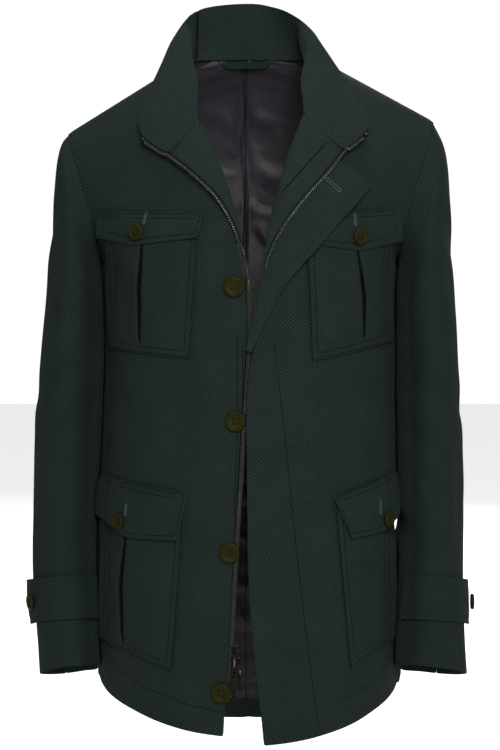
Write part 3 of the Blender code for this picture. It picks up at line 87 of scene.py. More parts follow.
# Soft folds of the body, millimetres as seen from the front: face, start, end, width, depth, bow.
# A positive depth stands out and a negative one sinks; bow bends the line sideways at its middle.
BODY_FOLDS = (
    ("front", -158, -205, -118, -262, 11, -1.5, 6), ("front", -146, -196, -96, -276, 12, 1.3, 8),
    ("front", -170, -300, -128, -372, 15, -2.2, 8), ("front", -160, -330, -92, -392, 18, 1.8, 10),
    ("front", -172, -356, -110, -430, 14, -1.9, -8), ("front", -150, -392, -60, -436, 17, 1.5, 6),
    ("front", -84, -330, -66, -470, 20, -1.7, 5), ("front", -52, -300, -44, -520, 16, 1.3, -4),
    ("front", -104, -560, -58, -700, 22, 1.8, 6), ("front", -78, -600, -44, -740, 15, -1.4, 5),
    ("front", -150, -668, -122, -735, 14, -1.6, 3), ("front", -128, -90, -66, -138, 14, -1.6, 6),
    ("front", -150, -66, -84, -112, 16, 1.5, 8), ("front", -110, -60, -62, -92, 11, -1.4, 4),
    ("front", 34, -228, 26, -330, 9, -2.6, -5), ("front", 52, -240, 44, -400, 12, 1.6, -6),
    ("front", 30, -300, 40, -480, 14, -1.6, 5), ("front", 84, -340, 100, -470, 18, -1.8, -6),
    ("front", 118, -330, 166, -386, 14, -2.0, -6), ("front", 104, -372, 170, -428, 16, 1.9, -8),
    ("front", 60, -420, 66, -560, 18, 1.6, 4), ("front", 46, -520, 52, -700, 16, -1.3, -5),
    ("front", 92, -560, 112, -735, 20, 1.7, 6), ("front", 130, -655, 140, -735, 13, -1.7, 3),
    ("front", 84, -96, 150, -62, 15, -1.5, -6), ("front", 96, -128, 158, -96, 14, 1.4, -5),
    ("front", 128, -190, 158, -262, 12, -1.4, -6), ("front", 66, -640, 84, -750, 14, -1.2, 0),
    ("back", -150, -150, -88, -262, 20, 2.6, 10), ("back", -162, -180, -112, -330, 17, -2.4, 8),
    ("back", 148, -158, 92, -250, 19, 2.4, -9), ("back", 160, -196, 118, -320, 18, -2.3, -9),
    ("back", -60, -60, -24, -210, 22, 2.0, 8), ("back", 52, -70, 30, -230, 20, -1.9, -6),
    ("back", -140, -352, -40, -392, 16, -2.6, 8), ("back", -150, -384, -22, -424, 18, 2.4, 9),
    ("back", 144, -346, 36, -400, 17, -2.5, 8), ("back", 152, -392, 58, -440, 16, 2.1, 7),
    ("back", -86, -440, -70, -700, 24, 2.8, 6), ("back", -36, -430, -48, -770, 20, -2.4, -7),
    ("back", 40, -450, 62, -760, 26, 2.6, 8), ("back", 104, -430, 96, -740, 20, -2.3, 6),
    ("back", -132, -480, -128, -730, 18, -2.1, 5), ("back", 4, -500, 10, -760, 15, 1.8, 3),
    ("back", 140, -520, 146, -720, 16, 1.9, -4), ("back", -20, -260, -8, -420, 20, -1.6, 5),
)

# Folds of a sleeve: side, angle from its outer line towards the front and height of both ends, width, depth, bow.
SLEEVE_FOLDS = (
    (RIGHT, 96, -142, 20, -196, 13, -2.2, 6), (RIGHT, 84, -168, 10, -232, 15, 2.0, 8),
    (RIGHT, 110, -200, 46, -262, 12, -2.0, 4), (RIGHT, 120, -330, 30, -372, 12, -2.4, 5),
    (RIGHT, 112, -352, 10, -404, 15, 2.3, 8), (RIGHT, 128, -384, 44, -424, 11, -2.1, 4),
    (RIGHT, 60, -410, 20, -520, 14, -1.6, 6), (RIGHT, 84, -452, 74, -590, 10, -2.2, 3),
    (RIGHT, 44, -500, 56, -588, 9, -2.0, 2), (RIGHT, 16, -520, 26, -590, 9, -1.8, -2),
    (RIGHT, 34, -640, 26, -700, 10, -1.8, 3), (RIGHT, 104, -650, 92, -700, 9, -1.6, 2),
    (RIGHT, -30, -180, -92, -250, 15, -2.2, 6), (RIGHT, -18, -320, -110, -382, 15, -2.6, 8),
    (RIGHT, -22, -356, -120, -420, 16, 2.3, 7), (RIGHT, -50, -430, -70, -600, 16, -1.8, 5),
    (LEFT, 92, -150, 14, -214, 14, -2.1, 7), (LEFT, 102, -186, 34, -246, 13, 1.9, 6),
    (LEFT, 116, -236, 60, -300, 12, -1.8, 4), (LEFT, 122, -344, 24, -388, 13, -2.3, 6),
    (LEFT, 108, -370, 16, -422, 14, 2.2, 6), (LEFT, 126, -404, 52, -446, 11, -2.0, 4),
    (LEFT, 52, -430, 66, -560, 13, -1.7, 4), (LEFT, 88, -470, 80, -588, 10, -2.0, 3),
    (LEFT, 20, -500, 28, -588, 11, -1.6, -3), (LEFT, 62, -640, 54, -700, 10, -1.6, 3),
    (LEFT, -24, -188, -96, -262, 16, -2.1, 6), (LEFT, -14, -334, -104, -402, 15, -2.6, 8),
    (LEFT, -30, -378, -116, -436, 15, 2.1, 6), (LEFT, -60, -450, -52, -600, 15, -1.8, -4),
)

# Crumples of the satin lining, seen from the front: start, end, width, depth, bow.
LINING_FOLDS = (
    (-7, 24, -8, -70, 2.2, 3.0, 2), (-8, -64, -4, -170, 2.2, 2.8, -2), (-4, -160, -6, -420, 2.4, 3.0, 2),
    (-12, 4, -13, -90, 5.0, -1.0, 2), (4, -10, 5, -180, 6.0, 1.2, -2),
    (6, -28, 44, -52, 10, 2.6, 6), (8, -66, 40, -48, 8, -2.4, -5), (10, -92, 46, -112, 11, 2.8, 6),
    (6, -128, 38, -142, 9, -2.6, 4), (-44, -30, -14, -62, 10, 2.4, -5), (-40, -78, -12, -96, 9, -2.2, 4),
    (-36, -120, -10, -150, 10, 2.5, 4), (12, -168, 34, -196, 8, 2.4, 3), (-30, -176, -9, -200, 8, -2.2, 3),
    (-24, -500, 6, -512, 6, 3.4, 2), (-30, -524, 8, -532, 6, -3.2, 3), (-26, -548, 12, -566, 7, 3.4, 3),
    (-32, -584, 14, -590, 6, -3.2, -3), (-30, -610, 16, -626, 8, 3.6, 4), (-20, -640, 20, -652, 7, -3.0, 3),
    (-34, -664, 18, -676, 8, 3.2, -3), (-20, -700, 24, -704, 9, -2.4, 2), (-60, -540, -34, -640, 12, 3.0, 4),
    (40, -520, 30, -680, 13, -2.8, 5), (-80, -300, -70, -480, 16, 3.0, 5), (70, -280, 84, -470, 17, -3.0, 5),
    (-110, -420, -96, -640, 18, -2.6, 6), (112, -400, 104, -650, 16, 2.8, 6), (20, -420, 28, -600, 14, 2.4, 3),
)


def ease(low, high, x):
    """Smooth step of an array from 0 at low to 1 at high."""
    t = np.clip((np.asarray(x, float) - low) / (high - low), 0, 1)
    return t * t * (3 - 2 * t)


def bell(x, middle, width):
    """Bell curve of height 1 round a middle."""
    return np.exp(-((x - middle) / width) ** 2)


def fold_height(u, v, folds):
    """Height in metres that a list of folds gives at places (u, v), both in metres."""
    total = np.zeros(len(u))
    for u0, v0, u1, v1, width, depth, bow in folds:
        u0, v0, u1, v1, width, depth, bow = (x * MM for x in (u0, v0, u1, v1, width, depth, bow))
        du, dv = u1 - u0, v1 - v0
        length = math.hypot(du, dv)
        share = ((u - u0) * du + (v - v0) * dv) / length**2
        near = (share > -0.35) & (share < 1.35)
        if not near.any():
            continue
        s = share[near]
        across = ((u[near] - u0) * dv - (v[near] - v0) * du) / length
        across = (across - bow * 4 * s * (1 - s) * (np.abs(s - 0.5) < 0.85)) / width
        ends = ease(-0.25, 0.3, s) * (1 - ease(0.6, 1.3, s))
        ridge = np.exp(-across**2) - 0.42 * np.exp(-(across - 1.7)**2) - 0.22 * np.exp(-(across + 1.9)**2)
        total[near] += depth * ends * ridge
    return total


def unevenness(u, v, size, seed):
    """Soft, irregular swell between about -1 and 1 over (u, v); size is its usual width in metres."""
    rng = np.random.default_rng(seed)
    total = np.zeros(len(u))
    for _ in range(9):
        turn, phase, stretch = rng.uniform(0, math.tau), rng.uniform(0, math.tau), rng.uniform(0.6, 1.6)
        wave = math.tau / (size * stretch)
        total += np.sin(wave * (u * math.cos(turn) + v * math.sin(turn) * 0.6) + phase) / 4
    return total


# ---------------------------------------------------------------- where the cloth lies

def clean_copy(node_name):
    """A node's mesh as one welded skin of mostly quads."""
    build = bmesh.new()
    build.from_mesh(NODES[node_name].data)
    bmesh.ops.remove_doubles(build, verts=build.verts, dist=2e-6)
    bmesh.ops.join_triangles(build, faces=build.faces, angle_face_threshold=0.9, angle_shape_threshold=1.6)
    return build


def tree_over(meshes):
    """Search tree over some meshes."""
    corners, faces = [], []
    for mesh in meshes:
        start = len(corners)
        corners += [v.co[:] for v in mesh.vertices]
        faces += [[start + i for i in p.vertices] for p in mesh.polygons]
    return BVHTree.FromPolygons(corners, faces)


def tree_of(*node_names):
    """Search tree over the solids of some nodes."""
    return tree_over([NODES[name].data for name in node_names])


BODY_PANELS = ("front_right", "front_left", "back_right", "back_left")
BODY_TREE = tree_of(*BODY_PANELS)
SLEEVE_TREE = tree_of(*(part + side for part in ("upper_sleeve_", "under_sleeve_") for side, _ in SIDES))
COLLAR_TREE = tree_of("collar")


def nearest_on(tree, points, reach=0.06):
    """Distance from each point to a tree's surface, and the direction to it."""
    away, way = np.full(len(points), reach), np.zeros((len(points), 3))
    for i, p in enumerate(points):
        hit = tree.find_nearest(Vector(p), reach)
        if hit[0] is not None:
            away[i] = hit[3]
            way[i] = (np.array(hit[0]) - p) / max(hit[3], 1e-6)
    return away, way


def lean(away, way, points, share):
    """Cloth of body and sleeve leans together where they hang side by side."""
    x, z = points[:, 0], points[:, 2]
    where = ease(-0.188, -0.222, z) * (1 - ease(-0.71, -0.75, z))
    where *= 1 - 0.75 * (x > 0) * np.exp(-((z + 0.520) / 0.015) ** 4)
    reach = np.where(x > 0, 1.4, 1.0)
    room = np.clip(away - 0.5 * MM, 0, None) * (1 - ease(11 * MM, 20 * MM, away / reach))
    return way * (room * where * share)[:, None]


def sewn_close(away, way, points):
    """Cloth edges of body and sleeve close up to each other at the armhole's seam."""
    room = np.clip(away - 0.05 * MM, 0, None) * (1 - ease(3.5 * MM, 7 * MM, away))
    return way * (room * ease(-0.222, -0.188, points[:, 2]) * 0.5)[:, None]


def sleeve_axis(side_name):
    """Heights and middle (x, y) of a sleeve, from the cuff to the shoulder."""
    points = np.array([v.co[:] for part in ("upper_sleeve_", "under_sleeve_")
                       for v in NODES[part + side_name].data.vertices])
    levels, middles = [], []
    for z in np.arange(-0.69, -0.10, 0.02):
        band = points[np.abs(points[:, 2] - z) < 0.022]
        if len(band) > 8:
            levels.append(z)
            middles.append(((band[:, 0].min() + band[:, 0].max()) / 2, (band[:, 1].min() + band[:, 1].max()) / 2))
    middles = np.array(middles)
    for _ in range(4):          # an even curve without steps
        middles[1:-1] = (middles[:-2] + 2 * middles[1:-1] + middles[2:]) / 4
    return np.array(levels), middles


SLEEVE_AXIS = {side: sleeve_axis(name) for name, side in SIDES}
ARM_ROUND = 0.052               # usual radius of a sleeve, for lengths round it
ZIP_LINE = 0.008                # x of the front's middle, beside which the body keeps calm


def arm_place(side, points):
    """Angle in radians from a sleeve's outer line towards its front, and the direction out of it."""
    levels, middles = SLEEVE_AXIS[side]
    cx = np.interp(points[:, 2], levels, middles[:, 0])
    cy = np.interp(points[:, 2], levels, middles[:, 1])
    dx, dy = points[:, 0] - cx, points[:, 1] - cy
    reach = np.maximum(np.hypot(dx, dy), 1e-6)
    return np.arctan2(-dy, side * dx), np.stack([dx / reach, dy / reach, np.zeros(len(points))], 1)


def body_way(points):
    """Direction out of the body at each point."""
    way = np.stack([points[:, 0] / 0.175**2, (points[:, 1] + 0.005) / 0.125**2, np.zeros(len(points))], 1)
    return way / np.maximum(np.linalg.norm(way, axis=1), 1e-9)[:, None]


def body_shift(points, strength=1.0):
    """How the body's folds move points that lie on it. All pieces on the body move alike."""
    x, y, z = points.T
    front = 1 - ease(-0.035, 0.012, y)
    height = np.zeros(len(points))
    for face, share in (("front", front), ("back", 1 - front)):
        rows = [row[1:] for row in BODY_FOLDS if row[0] == face]
        height += share * fold_height(x, z, rows)
    height += unevenness(x + 0.4 * y, z, 0.085, 5) * 0.45 * MM + unevenness(x - 0.5 * y, z, 0.032, 8) * 0.13 * MM
    calm = ease(0.014, 0.045, np.abs(x - ZIP_LINE) + 0.1 * ease(-0.62, -0.2, z) * (x > 0.03) + 0.3 * (y > 0))
    calm *= 1 - ease(-0.07, -0.03, z)
    away, way = nearest_on(SLEEVE_TREE, points)
    calm *= ease(0.003, 0.022, away)
    folds = body_way(points) * (height * calm * strength)[:, None]
    return folds + lean(away, way, points, 0.36) + sewn_close(away, way, points)


def arm_shift(side, points, strength=1.0):
    """How a sleeve's folds move points that lie on it."""
    angle, way = arm_place(side, points)
    rows = [(math.radians(a0) * ARM_ROUND / MM, z0, math.radians(a1) * ARM_ROUND / MM, z1, width, depth, bow)
            for fold_side, a0, z0, a1, z1, width, depth, bow in SLEEVE_FOLDS if fold_side == side]
    u = angle * ARM_ROUND
    height = fold_height(u, points[:, 2], rows)
    around = unevenness(np.cos(angle) * 0.05, points[:, 2] + np.sin(angle) * 0.05, 0.07, 11 + side)
    height += around * 0.5 * MM
    away, towards = nearest_on(BODY_TREE, points, 0.03)
    calm = ease(0.002, 0.016, away) * (1 - ease(-0.13, -0.09, points[:, 2]))
    folds = way * (height * calm * strength)[:, None]
    return folds + lean(away, towards, points, 0.6) + sewn_close(away, towards, points)


def body_lengths(points):
    """Lengths (u, v) in metres round and down the body's cloth."""
    x, y, z = points.T
    turns = np.linspace(-math.pi, math.pi, 721)
    ellipse = np.stack([np.sin(turns) * 0.178, -np.cos(turns) * 0.125], 1)
    lengths = lengths_along(ellipse)
    angle = np.arctan2(x / 0.178, -y / 0.125)
    over = ease(-0.32, 0.02, z)
    whole = lengths[-1]
    # the grain runs up the shoulder
    straight = whole / 2 + x if y.mean() < 0 else np.where(x > 0, whole - x, -x)
    round_body = np.interp(angle, turns, lengths)
    return round_body + (straight - round_body) * ease(-0.30, -0.06, z), z + over * (0.12 - np.abs(y)) * 0.4


def arm_lengths(side, points):
    angle, _ = arm_place(side, points)
    over = ease(-0.28, 0.0, points[:, 2])
    return side * angle * 0.058, points[:, 2] + over * (0.24 - np.abs(points[:, 0])) * 0.4


def flat_lengths(points):
    return points[:, 0].copy(), points[:, 2].copy()


# ---------------------------------------------------------------- making meshes

def read_values(items, field, kind, wide=1):
    """A field of all vertices, corners or faces of a mesh, as an array."""
    values = np.empty(len(items) * wide, kind)
    items.foreach_get(field, values)
    return values.reshape(-1, wide) if wide > 1 else values


def points_of(mesh):
    return read_values(mesh.vertices, "co", np.float32, 3).astype(float)


def set_points(mesh, points):
    mesh.vertices.foreach_set("co", points.astype(np.float32).ravel())
    mesh.update()


def set_lengths(mesh, lengths):
    """Store (u, v) in metres as the piece's UV map; without lengths, by the side that each face looks to."""
    corner = read_values(mesh.loops, "vertex_index", np.int32)
    if lengths is None:
        turned = np.repeat(np.abs(read_values(mesh.polygons, "normal", np.float32, 3)).argmax(1),
                           read_values(mesh.polygons, "loop_total", np.int32))
        x, y, z = points_of(mesh)[corner].T
        uv = np.stack([np.where(turned == 0, y, x), np.where(turned == 2, y, z)], 1)
    else:
        uv = np.stack([values[corner] for values in lengths], 1)
        starts = read_values(mesh.polygons, "loop_start", np.int32)
        first = np.repeat(starts, np.diff(np.append(starts, len(corner))))
        jump = uv[:, 0] - uv[first, 0]      # a face that crosses the back seam keeps whole
        turn = 0.33 if np.abs(jump).max() < 0.6 else 0.95
        uv[:, 0] -= np.where(np.abs(jump) > turn / 2, np.sign(jump) * turn, 0)
    mesh.uv_layers.new(name="cloth_lengths").data.foreach_set("uv", uv.astype(np.float32).ravel())


def add_piece(name, mesh, material, body="root", replaces=()):
    """Put a mesh in the scene as a piece of the jacket."""
    mesh.materials.clear()
    mesh.materials.append(material)
    mesh.shade_smooth()
    mesh.set_sharp_from_angle(angle=math.radians(50))
    thing = bpy.data.objects.new(name, mesh)
    bpy.context.scene.collection.objects.link(thing)
    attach(thing, body)
    if replaces:
        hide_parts(*replaces)
    return thing


def subdivided(build, name, levels, crease_angle=68):
    """Smooth mesh of a welded skin whose cut edges stay crisp."""
    build.normal_update()
    layer = build.edges.layers.float.get("crease_edge") or build.edges.layers.float.new("crease_edge")
    for edge in build.edges:
        if len(edge.link_faces) == 2 and edge.calc_face_angle() > math.radians(crease_angle):
            edge[layer] = 0.9
    rough = bpy.data.meshes.new(name + "_rough")
    build.to_mesh(rough)
    build.free()
    holder = bpy.data.objects.new(name + "_rough", rough)
    bpy.context.scene.collection.objects.link(holder)
    modifier = holder.modifiers.new("smooth", "SUBSURF")
    modifier.levels = levels
    modifier.render_levels = levels
    bpy.context.view_layer.update()
    mesh = bpy.data.meshes.new_from_object(holder.evaluated_get(bpy.context.evaluated_depsgraph_get()))
    mesh.name = name
    bpy.data.objects.remove(holder)
    bpy.data.meshes.remove(rough)
    for attribute in [a for a in mesh.attributes if a.name.startswith(("crease", "Col", "COLOR"))]:
        mesh.attributes.remove(attribute)
    for layer in list(mesh.uv_layers):
        mesh.uv_layers.remove(layer)
    return mesh


def refined(mesh, wanted, rounds):
    """Halve the edges along a narrow crease, so that it comes out clean."""
    build = bmesh.new()
    build.from_mesh(mesh)
    for _ in range(rounds):
        middles = np.array([(edge.verts[0].co + edge.verts[1].co)[:] for edge in build.edges]) / 2
        chosen = [edge for edge, take in zip(build.edges, wanted(middles)) if take]
        bmesh.ops.subdivide_edges(build, edges=chosen, cuts=1, use_grid_fill=True)
    build.to_mesh(mesh)
    build.free()


def half_area(mesh):
    return float(read_values(mesh.polygons, "area", np.float32).sum()) / 2


def cloth_piece(node_name, name, material, levels, shift, lengths,
                painted_shades=None, crease_angle=60, narrow=None):
    """A cloth piece on its solid's form, with its folds."""
    mesh = subdivided(clean_copy(node_name), name, levels, crease_angle)
    if narrow is not None:
        refined(mesh, narrow, 1)
    points = points_of(mesh)
    set_lengths(mesh, lengths and lengths(points))
    # Painted shade: a mask over the points that darkens the colour in pleats, folds and creases.
    if painted_shades is not None:
        attribute = mesh.attributes.new("hollow", "FLOAT", "POINT")
        attribute.data.foreach_set("value", np.clip(painted_shades(points), 0, 1).astype(np.float32))
    if shift is not None:
        set_points(mesh, points + shift(points))
    thing = add_piece(name, mesh, material, replaces=(node_name,))
    area = half_area(mesh)
    return thing


def cloth_tree(name):
    """Search tree over a finished cloth piece."""
    return tree_over([bpy.data.objects[name + "_cloth"].data])


def skin(builder, rings, capped=True):
    """Add the faces between rings of points that follow each other, and both ends."""
    for one, two in zip(rings, rings[1:]):
        for k in range(len(one)):
            after = (k + 1) % len(one)
            builder.faces.new((one[k], one[after], two[after], two[k]))
    if capped:
        builder.faces.new(list(reversed(rings[0])))
        builder.faces.new(rings[-1])


def strand(builder, path, ways, radius, sides=6, flat=1.0):
    """Add a rounded thread along a path to a bmesh; flat below 1 presses it against the cloth."""
    path = [Vector(p) for p in path]
    rings = []
    last = len(path) - 1
    for i, p in enumerate(path):
        along = (path[min(i + 1, last)] - path[max(i - 1, 0)]).normalized()
        out = Vector(ways[i])
        out = (out - along * out.dot(along)).normalized()
        across = along.cross(out)
        thin = radius * (0.55 if i in (0, last) else 1)
        shift = along * (radius * 0.4 * (-1 if i == 0 else 1 if i == last else 0))
        rings.append([builder.verts.new(p + shift + across * math.cos(a) * thin + out * math.sin(a) * thin * flat)
                      for a in (math.tau * k / sides for k in range(sides))])
    skin(builder, rings)


def lengths_along(points):
    """Distance along a line of points, at each of them."""
    return np.concatenate([[0], np.cumsum(np.linalg.norm(np.diff(points, axis=0), axis=1))])


def value_at(where, at, values):
    """The values of a line of points at a distance along it."""
    return np.array([np.interp(where, at, values[:, i]) for i in range(3)])


def row_of_stitches(builder, points, ways, pitch, long, radius):
    """Stitches at even spacing along a line of points that lies on the cloth."""
    points, ways = np.array(points), np.array(ways)
    at = lengths_along(points)
    count = int(at[-1] / pitch)
    for k in range(count):
        path, outs = [], []
        for s, lift in ((-0.5, -0.12), (-0.25, 0.05), (0, 0.1), (0.25, 0.05), (0.5, -0.12)):
            where = (k + 0.5) * at[-1] / count + s * long
            out = value_at(where, at, ways)
            out /= max(np.linalg.norm(out), 1e-9)
            path.append(value_at(where, at, points) + out * lift * MM)
            outs.append(out)
        strand(builder, path, outs, radius, sides=4, flat=0.7)


INWARDS = Vector((0, 1, 0))     # from before the jacket into it
CAST_FROM = 0.25                # how far before a line the cast starts
CAST_PAST = 0.12                # and how far behind the line it ends
CAST_STEP = 1.6 * MM


def cast_line(tree, line):
    """Drop a polyline of points onto a surface, from the front."""
    points, normals = [], []
    for a, b in zip(line, line[1:]):
        count = max(int((b - a).length / CAST_STEP), 1)
        for k in range(count):
            spot, normal = tree.ray_cast(a.lerp(b, k / count) - INWARDS * CAST_FROM, INWARDS,
                                         CAST_FROM + CAST_PAST)[:2]
            if spot is not None:
                points.append(spot)
                normals.append(normal if normal.dot(INWARDS) < 0 else -normal)
    return points, normals


def finish_mesh(builder, name):
    bmesh.ops.recalc_face_normals(builder, faces=builder.faces)
    mesh = bpy.data.meshes.new(name)
    builder.to_mesh(mesh)
    builder.free()
    return mesh


def slab(builder, outline, hole, low, high, place, edge):
    """Add a flat plate with rounded rims to a bmesh: an outline and, if given, a hole, both (a, b)
    lists of one length, between two depths; place(a, b, depth) gives the point."""
    outline = np.array(outline)

    def inset(loop, by):
        """A loop made smaller, or larger if by is negative."""
        ways = np.roll(loop, -1, 0) - np.roll(loop, 1, 0)
        normal = np.stack([ways[:, 1], -ways[:, 0]], 1)
        normal /= np.maximum(np.linalg.norm(normal, axis=1), 1e-9)[:, None]
        sign = np.sign(((loop - loop.mean(0)) * normal).sum(1).sum())
        return loop - normal * by * sign

    sections = [(inset(outline, edge), low), (inset(outline, edge * 0.3), low + edge * 0.3),
                (outline, low + edge), (outline, high - edge),
                (inset(outline, edge * 0.3), high - edge * 0.3), (inset(outline, edge), high)]
    if hole is not None:
        hole = np.array(hole)
        sections += [(inset(hole, -edge), high), (hole, high - edge), (hole, low + edge), (inset(hole, -edge), low)]
    loops = [[builder.verts.new(place(a, b, depth)) for a, b in loop] for loop, depth in sections]
    if hole is not None:
        loops.append(loops[0])
    skin(builder, loops, capped=False)
    if hole is None:
        middle = outline.mean(0)
        for loop, depth in ((loops[0], low), (loops[-1], high)):
            centre = builder.verts.new(place(*middle, depth))
            for k, corner in enumerate(loop):
                builder.faces.new((corner, loop[(k + 1) % len(loop)], centre))


def round_places(power, count):
    """Places round a circle that a higher power makes squarer, each within -1 to 1."""
    for k in range(count):
        a = math.tau * k / count
        c, s = math.cos(a), math.sin(a)
        grow = (abs(c) ** power + abs(s) ** power) ** (-1 / power)
        yield c * grow, s * grow


def oval(half_wide, half_long, middle=(0, 0), power=2.0):
    """Rounded outline around a middle."""
    return [(middle[0] + half_wide * a, middle[1] + half_long * b) for a, b in round_places(power, 40)]


# ---------------------------------------------------------------- shader groups and materials

def new_group(name, inputs, outputs):
    group = bpy.data.node_groups.new(name, "ShaderNodeTree")
    for label, kind, value in inputs:
        socket = group.interface.new_socket(name=label, in_out="INPUT", socket_type=kind)
        if value is not None:
            socket.default_value = value
    for label, kind in outputs:
        group.interface.new_socket(name=label, in_out="OUTPUT", socket_type=kind)
    return group, group.nodes.new("NodeGroupInput"), group.nodes.new("NodeGroupOutput")


def set_inputs(tree, node, values):
    """Give a node's inputs, by name or number, a number, a colour, a vector or another node's output."""
    for label, value in values.items():
        socket = node.inputs[label]
        if isinstance(value, (int, float)):
            socket.default_value = value
        elif isinstance(value, tuple):
            socket.default_value = (*value, 1)[:len(socket.default_value)]
        else:
            tree.links.new(value, socket)


def add_node(tree, kind, values={}, **settings):
    node = tree.nodes.new("ShaderNode" + kind)
    for label, value in settings.items():
        setattr(node, label, value)
    set_inputs(tree, node, values)
    return node


def math_node(tree, operation, *values):
    return add_node(tree, "Math", dict(enumerate(values)), operation=operation).outputs[0]


def mix_colour(tree, share, a, b, blend="MIX"):
    return add_node(tree, "Mix", {0: share, 6: a, 7: b}, data_type="RGBA", blend_type=blend).outputs[2]


def noise(tree, vector, scale, detail=2.0, roughness=0.5):
    return add_node(tree, "TexNoise", {"Scale": scale, "Detail": detail, "Roughness": roughness, "Vector": vector})


def bump_normal(tree, height, strength, distance):
    values = {"Strength": strength, "Distance": distance, "Height": height}
    return add_node(tree, "Bump", values).outputs["Normal"]


def birdseye_group():
    """Birdseye weave: two yarn colours in dots on a ground, from lengths over the cloth in metres, darkened by a mask
    of painted shade.
    """
    group, inp, out = new_group(
        "birdseye_weave",
        [("Lengths", "NodeSocketVector", None), ("Pitch", "NodeSocketFloat", 0.0036),
         ("Angle", "NodeSocketFloat", 0.785), ("Ground", "NodeSocketColor", (0.01, 0.016, 0.014, 1)),
         ("Light yarn", "NodeSocketColor", (0.04, 0.05, 0.03, 1)),
         ("Deep yarn", "NodeSocketColor", (0.01, 0.03, 0.035, 1)), ("Contrast", "NodeSocketFloat", 1.0),
         ("Painted shade", "NodeSocketFloat", 0.0)],
        [("Color", "NodeSocketColor"), ("Height", "NodeSocketFloat"), ("Roughness", "NodeSocketFloat")])
    put = inp.outputs

    def calc(operation, *values):
        return math_node(group, operation, *values)

    def times(a, b):
        return calc("MULTIPLY", a, b)

    wander = noise(group, put["Lengths"], 160, 1.0)
    shift = add_node(group, "VectorMath", {0: wander.outputs["Color"], 1: (0.0009, 0.0009, 0.0), 2: put["Lengths"]},
                     operation="MULTIPLY_ADD")
    across, along = add_node(group, "SeparateXYZ", {0: shift.outputs[0]}).outputs[:2]
    cos, sin = calc("COSINE", put["Angle"]), calc("SINE", put["Angle"])
    u = calc("SUBTRACT", times(across, cos), times(along, sin))
    v = calc("ADD", times(across, sin), times(along, cos))
    wave = calc("DIVIDE", math.tau, put["Pitch"])
    dots = times(calc("COSINE", times(u, wave)), calc("COSINE", times(v, wave)))
    speck = noise(group, put["Lengths"], 900, 2.0, 0.6).outputs["Fac"]
    cloud = noise(group, put["Lengths"], 22, 3.0, 0.55).outputs["Fac"]
    uneven = calc("ADD", dots, times(calc("SUBTRACT", speck, 0.5), 0.9))

    def lobes(sign):
        lobe = add_node(group, "MapRange", {"Value": times(uneven, sign), "From Min": 0.08, "From Max": 0.72},
                        interpolation_type="SMOOTHSTEP")
        return times(lobe.outputs[0], put["Contrast"])

    colour = mix_colour(group, lobes(1.0), put["Ground"], put["Light yarn"])
    colour = mix_colour(group, lobes(-1.0), colour, put["Deep yarn"])
    shade = calc("MULTIPLY_ADD", cloud, 0.42, 0.79)
    tint = add_node(group, "CombineColor", {0: shade, 1: shade, 2: shade})
    colour = mix_colour(group, 1.0, colour, tint.outputs[0], "MULTIPLY")
    # Painted shade: the colour goes towards black where the shade mask is high.
    colour = mix_colour(group, times(put["Painted shade"], 0.96), colour, (0.0, 0.0, 0.0))
    fine = times(calc("COSINE", times(calc("ADD", u, v), times(wave, 2.0))), 0.16)
    height = calc("ADD", calc("ADD", times(calc("ABSOLUTE", dots), 0.8), fine), times(speck, 0.7))
    set_inputs(group, out, {"Color": colour, "Height": height, "Roughness": calc("MULTIPLY_ADD", speck, 0.16, 0.78)})
    return group


def smudge_group():
    """Handling marks: slow changes of tone and gloss over a small hard piece."""
    group, inp, out = new_group(
        "smudges",
        [("Place", "NodeSocketVector", None), ("Scale", "NodeSocketFloat", 180.0),
         ("Color", "NodeSocketColor", (0.5, 0.5, 0.5, 1)), ("Worn color", "NodeSocketColor", (0.7, 0.7, 0.7, 1)),
         ("Low roughness", "NodeSocketFloat", 0.2), ("High roughness", "NodeSocketFloat", 0.45)],
        [("Color", "NodeSocketColor"), ("Roughness", "NodeSocketFloat"), ("Height", "NodeSocketFloat")])
    put = inp.outputs
    patches = noise(group, put["Place"], put["Scale"], 4.0).outputs["Fac"]
    grow = add_node(group, "MapRange", {"Value": patches, "From Min": 0.35, "From Max": 0.68})
    gloss = add_node(group, "MapRange", {"Value": patches, "To Min": put["Low roughness"],
                                         "To Max": put["High roughness"]})
    set_inputs(group, out, {"Color": mix_colour(group, grow.outputs[0], put["Color"], put["Worn color"]),
                            "Roughness": gloss.outputs[0], "Height": patches})
    return group


def new_material(name):
    material = bpy.data.materials.new(name)
    material.use_nodes = True
    return material, material.node_tree, material.node_tree.nodes["Principled BSDF"]


def cloth_inputs(tree):
    """Lengths over the cloth, and the mask of painted shade in its hollow places."""
    return (add_node(tree, "UVMap", uv_map="cloth_lengths").outputs[0],
            add_node(tree, "Attribute", attribute_name="hollow").outputs["Fac"])


def wool(name, group, pitch, angle, contrast, tone):
    """Birdseye wool with its nap; pitch and angle set how the weave lies."""
    cloth = bpy.context.scene.jacket_cloth
    material, tree, shader = new_material(name)
    lengths, hollow = cloth_inputs(tree)
    ground, light, deep = (tuple(c * tone for c in yarn) for yarn in (cloth.ground, cloth.light_yarn, cloth.deep_yarn))
    weave = add_node(tree, "Group", node_tree=group)
    set_inputs(tree, weave, {"Lengths": lengths, "Pitch": pitch, "Angle": angle, "Contrast": contrast,
                             "Ground": ground, "Light yarn": light, "Deep yarn": deep, "Painted shade": hollow})
    set_inputs(tree, shader, {
        "Base Color": weave.outputs["Color"], "Roughness": weave.outputs["Roughness"],
        "Normal": bump_normal(tree, weave.outputs["Height"], 0.55, 0.0006), "Specular IOR Level": 0.12,
        "Sheen Weight": cloth.nap, "Sheen Roughness": 0.45, "Sheen Tint": (0.55, 0.72, 0.66)})
    return material


